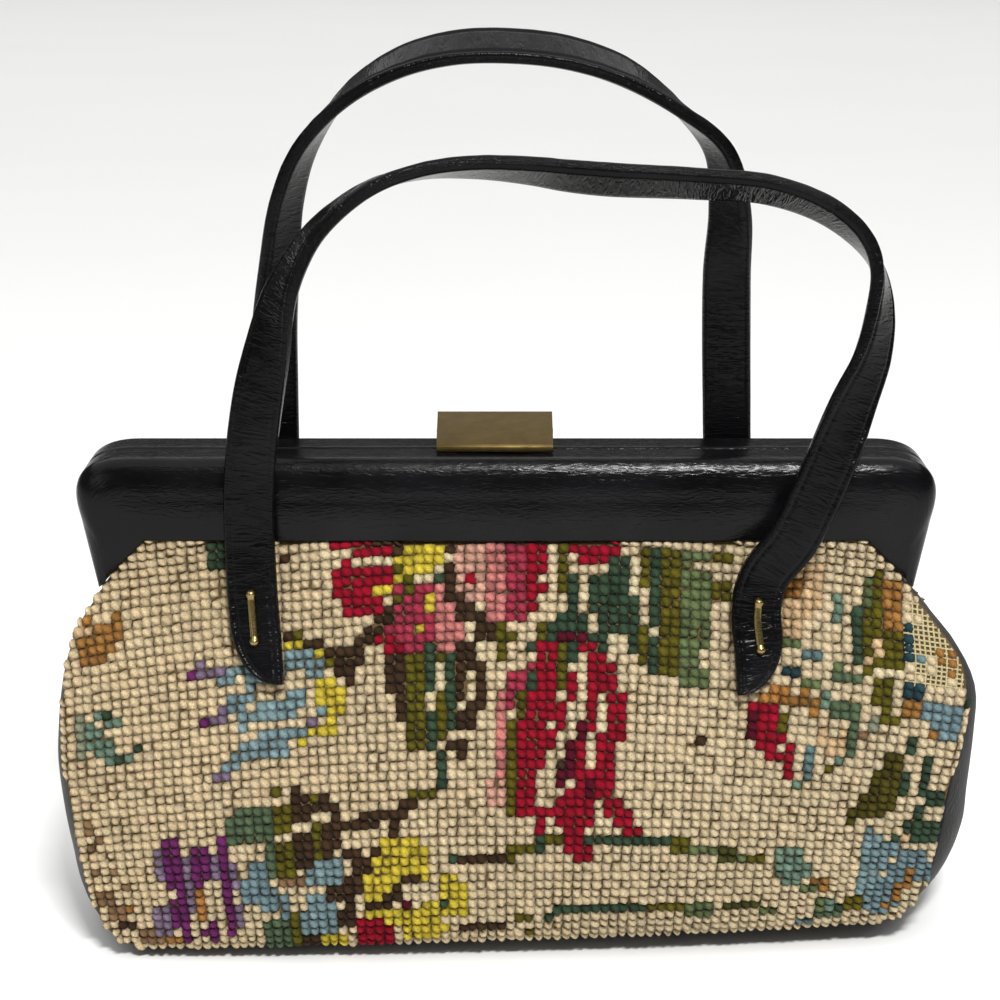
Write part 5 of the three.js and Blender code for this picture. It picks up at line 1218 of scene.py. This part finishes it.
def strap_handle(name, table, facing, stands_for):
    """Flat padded strap with a line pressed inside its edges and a one-sided curved tip at each end."""
    point, normal, width, along = strap_line(table, facing)
    half, thick = STRAP_WIDTH / 2, STRAP_THICKNESS / 2
    from_tip = np.minimum(along, along[-1] - along)
    in_tip = np.minimum(from_tip / TAB_TIP_LENGTH, 1)
    cut = (STRAP_WIDTH - TAB_TIP_WIDTH) * (1 - np.sqrt(1 - (1 - in_tip) ** 2))
    outer_side = width[:, 0] * point[:, 0] > 0
    high = (half - np.where(outer_side, cut, 0))[:, None]
    low = (-half + np.where(outer_side, 0, cut))[:, None]
    share = np.concatenate([np.linspace(0, 1, STRAP_FACE_POINTS), np.linspace(1, 0, STRAP_UNDER_POINTS)])
    over = np.concatenate([np.ones(STRAP_FACE_POINTS), -np.ones(STRAP_UNDER_POINTS)])[None, :]
    across = low + (high - low) * share[None, :]
    inset = np.minimum(across - low, high - across)
    ease = np.minimum(STRAP_EDGE_ROUND, (high - low) / 3)
    curve = 1 - np.sqrt(1 - np.clip(1 - inset / ease, 0, 1) ** 2)
    line = EDGE_LINE_DEPTH * np.exp(-((inset - EDGE_LINE_INSET) / EDGE_LINE_WIDTH) ** 2)
    room = np.clip((high - low) / STRAP_WIDTH, 0, 1)
    face = strap_ripple(along[:, None], across) * np.clip(inset / WAVE_INSET, 0, 1) - line * room
    raised = thick - STRAP_EDGE_DROP * ease * curve + np.where(over > 0, face, 0)
    rings = point[:, None] + width[:, None] * across[..., None] + normal[:, None] * (over * raised)[..., None]
    piece = new_piece(name, *loft(rings), STRAP_LEATHER, "strap_leather", [stands_for])
    lay_grain(piece, rings)
    return piece


# Brass

def staple(name, table, facing, side):
    """Half-round brass bar along a tab, its ends bent down into the leather."""
    point, normal, width, _ = strap_line(table, facing)
    low, high = STAPLE_SPANS[name]
    chosen = np.flatnonzero((point[:, 0] * side > 0) & (point[:, 2] >= low) & (point[:, 2] <= high))
    base = STRAP_THICKNESS / 2 - STAPLE_SUNK
    angles = np.linspace(0, math.pi, ARCH_POINTS)
    rings = []
    for k, place in enumerate(np.linspace(chosen[0], chosen[-1], STAPLE_STEPS)):
        middle, out, across = (np.array([np.interp(place, range(len(point)), part[:, j]) for j in range(3)])
                               for part in (point, normal, width))
        from_end = (0.5 - abs(k / (STAPLE_STEPS - 1) - 0.5)) * (high - low) / (STAPLE_END_WIDTH / 2)
        bead = math.sqrt(max(1 - (from_end - 1) ** 2, LEAST_BEAD)) if from_end < BEAD_RUN else 0
        in_bar = from_end > 1
        half = max(bead * STAPLE_END_WIDTH, STAPLE_WIDTH if in_bar else 0) / 2
        height = max(bead * STAPLE_END_WIDTH * BEAD_HEIGHT, STAPLE_HEIGHT + STAPLE_LIFT if in_bar else 0)
        foot, crown = STAPLE_SIDE_SHARE * height, (1 - STAPLE_SIDE_SHARE) * height
        arch = [(-half, 0)]
        arch += [(-half * math.cos(angle), foot + crown * math.sin(angle)) for angle in angles]
        arch.append((half, 0))
        rings.append([middle + across * w + out * (base + n) for w, n in arch])
    return new_piece(name + "_bar", *loft(np.array(rings)), STAPLE_BRASS, "brass", [name])


def eased_copy(node_name, piece_name, body, ease):
    """Sheet brass piece with the part's own shape and its edges eased."""
    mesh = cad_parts[node_name].data.copy()
    mesh.name = piece_name
    work = bmesh.new()
    work.from_mesh(mesh)
    bmesh.ops.remove_doubles(work, verts=work.verts, dist=WELD)
    bmesh.ops.dissolve_limit(work, angle_limit=FLAT_ANGLE, verts=work.verts, edges=work.edges)
    sharp = [edge for edge in work.edges if edge.is_manifold and edge.calc_face_angle() > EDGE_ANGLE]
    bmesh.ops.bevel(work, geom=sharp, offset=ease * MM, segments=2, affect="EDGES", profile=0.5,
                    clamp_overlap=True)
    work.to_mesh(mesh)
    work.free()
    mesh.polygons.foreach_set("use_smooth", np.ones(len(mesh.polygons), bool))
    mesh.set_sharp_from_angle(angle=SHARP_ANGLE)
    mesh.materials.clear()
    mesh.materials.append(BRASS)
    piece = bpy.data.objects.new(piece_name, mesh)
    bpy.context.scene.collection.objects.link(piece)
    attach(piece, body)
    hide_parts(node_name)
    return piece


# Stage

def stage():
    """Pale floor, camera at the photograph's angle and soft studio lights."""
    mesh = bpy.data.meshes.new("floor")
    corners = [(x * FLOOR_HALF, y * FLOOR_HALF, 0) for x, y in ((-1, -1), (1, -1), (1, 1), (-1, 1))]
    mesh.from_pydata(corners, [], [(0, 1, 2, 3)])
    mesh.materials.append(floor_material())
    floor = bpy.data.objects.new("floor", mesh)
    floor.location.z = -FLOOR_DROP
    bpy.context.scene.collection.objects.link(floor)

    target = Vector(in_place(CAMERA_TARGET))
    back = Vector((0, -math.cos(CAMERA_ELEVATION), math.sin(CAMERA_ELEVATION)))
    camera = bpy.data.objects.new("camera", bpy.data.cameras.new("camera"))
    camera.data.lens = CAMERA_LENS
    camera.data.sensor_width = CAMERA_SENSOR
    camera.location = target + back * CAMERA_DISTANCE * MM
    camera.rotation_mode = "QUATERNION"
    camera.rotation_quaternion = (-back).to_track_quat("-Z", "Y")
    bpy.context.scene.collection.objects.link(camera)
    bpy.context.scene.camera = camera

    for name, (place, aim, width, height, power) in LIGHTS.items():
        light = bpy.data.lights.new(name, "AREA")
        light.shape = "RECTANGLE"
        light.size = width
        light.size_y = height
        light.energy = power
        lamp = bpy.data.objects.new(name, light)
        lamp.location = place
        lamp.rotation_mode = "QUATERNION"
        lamp.rotation_quaternion = (Vector(aim) - Vector(place)).to_track_quat("-Z", "Y")
        bpy.context.scene.collection.objects.link(lamp)

    world = bpy.data.worlds.new("studio")
    world.use_nodes = True
    sky = world.node_tree.nodes["Background"]
    sky.inputs["Color"].default_value = (1.0, 1.0, 1.0, 1.0)
    sky.inputs["Strength"].default_value = SKY_STRENGTH
    bpy.context.scene.world = world
    bpy.context.scene.view_settings.view_transform = "Standard"


needlepoint()
gusset()
for facing in (FRONT, BACK):
    frame_half(facing)
strap_handle("strap_front", FRONT_STRAP, FRONT, "handle_front")
strap_handle("strap_back", BACK_STRAP, BACK, "handle_back")
for name in STAPLE_SPANS:
    strap, facing = (FRONT_STRAP, FRONT) if "front" in name else (BACK_STRAP, BACK)
    staple(name, strap, facing, -1 if "left" in name else 1)
for node_name, piece_name, body, ease in SHEET_BRASS:
    eased_copy(node_name, piece_name, body, ease)
stage()
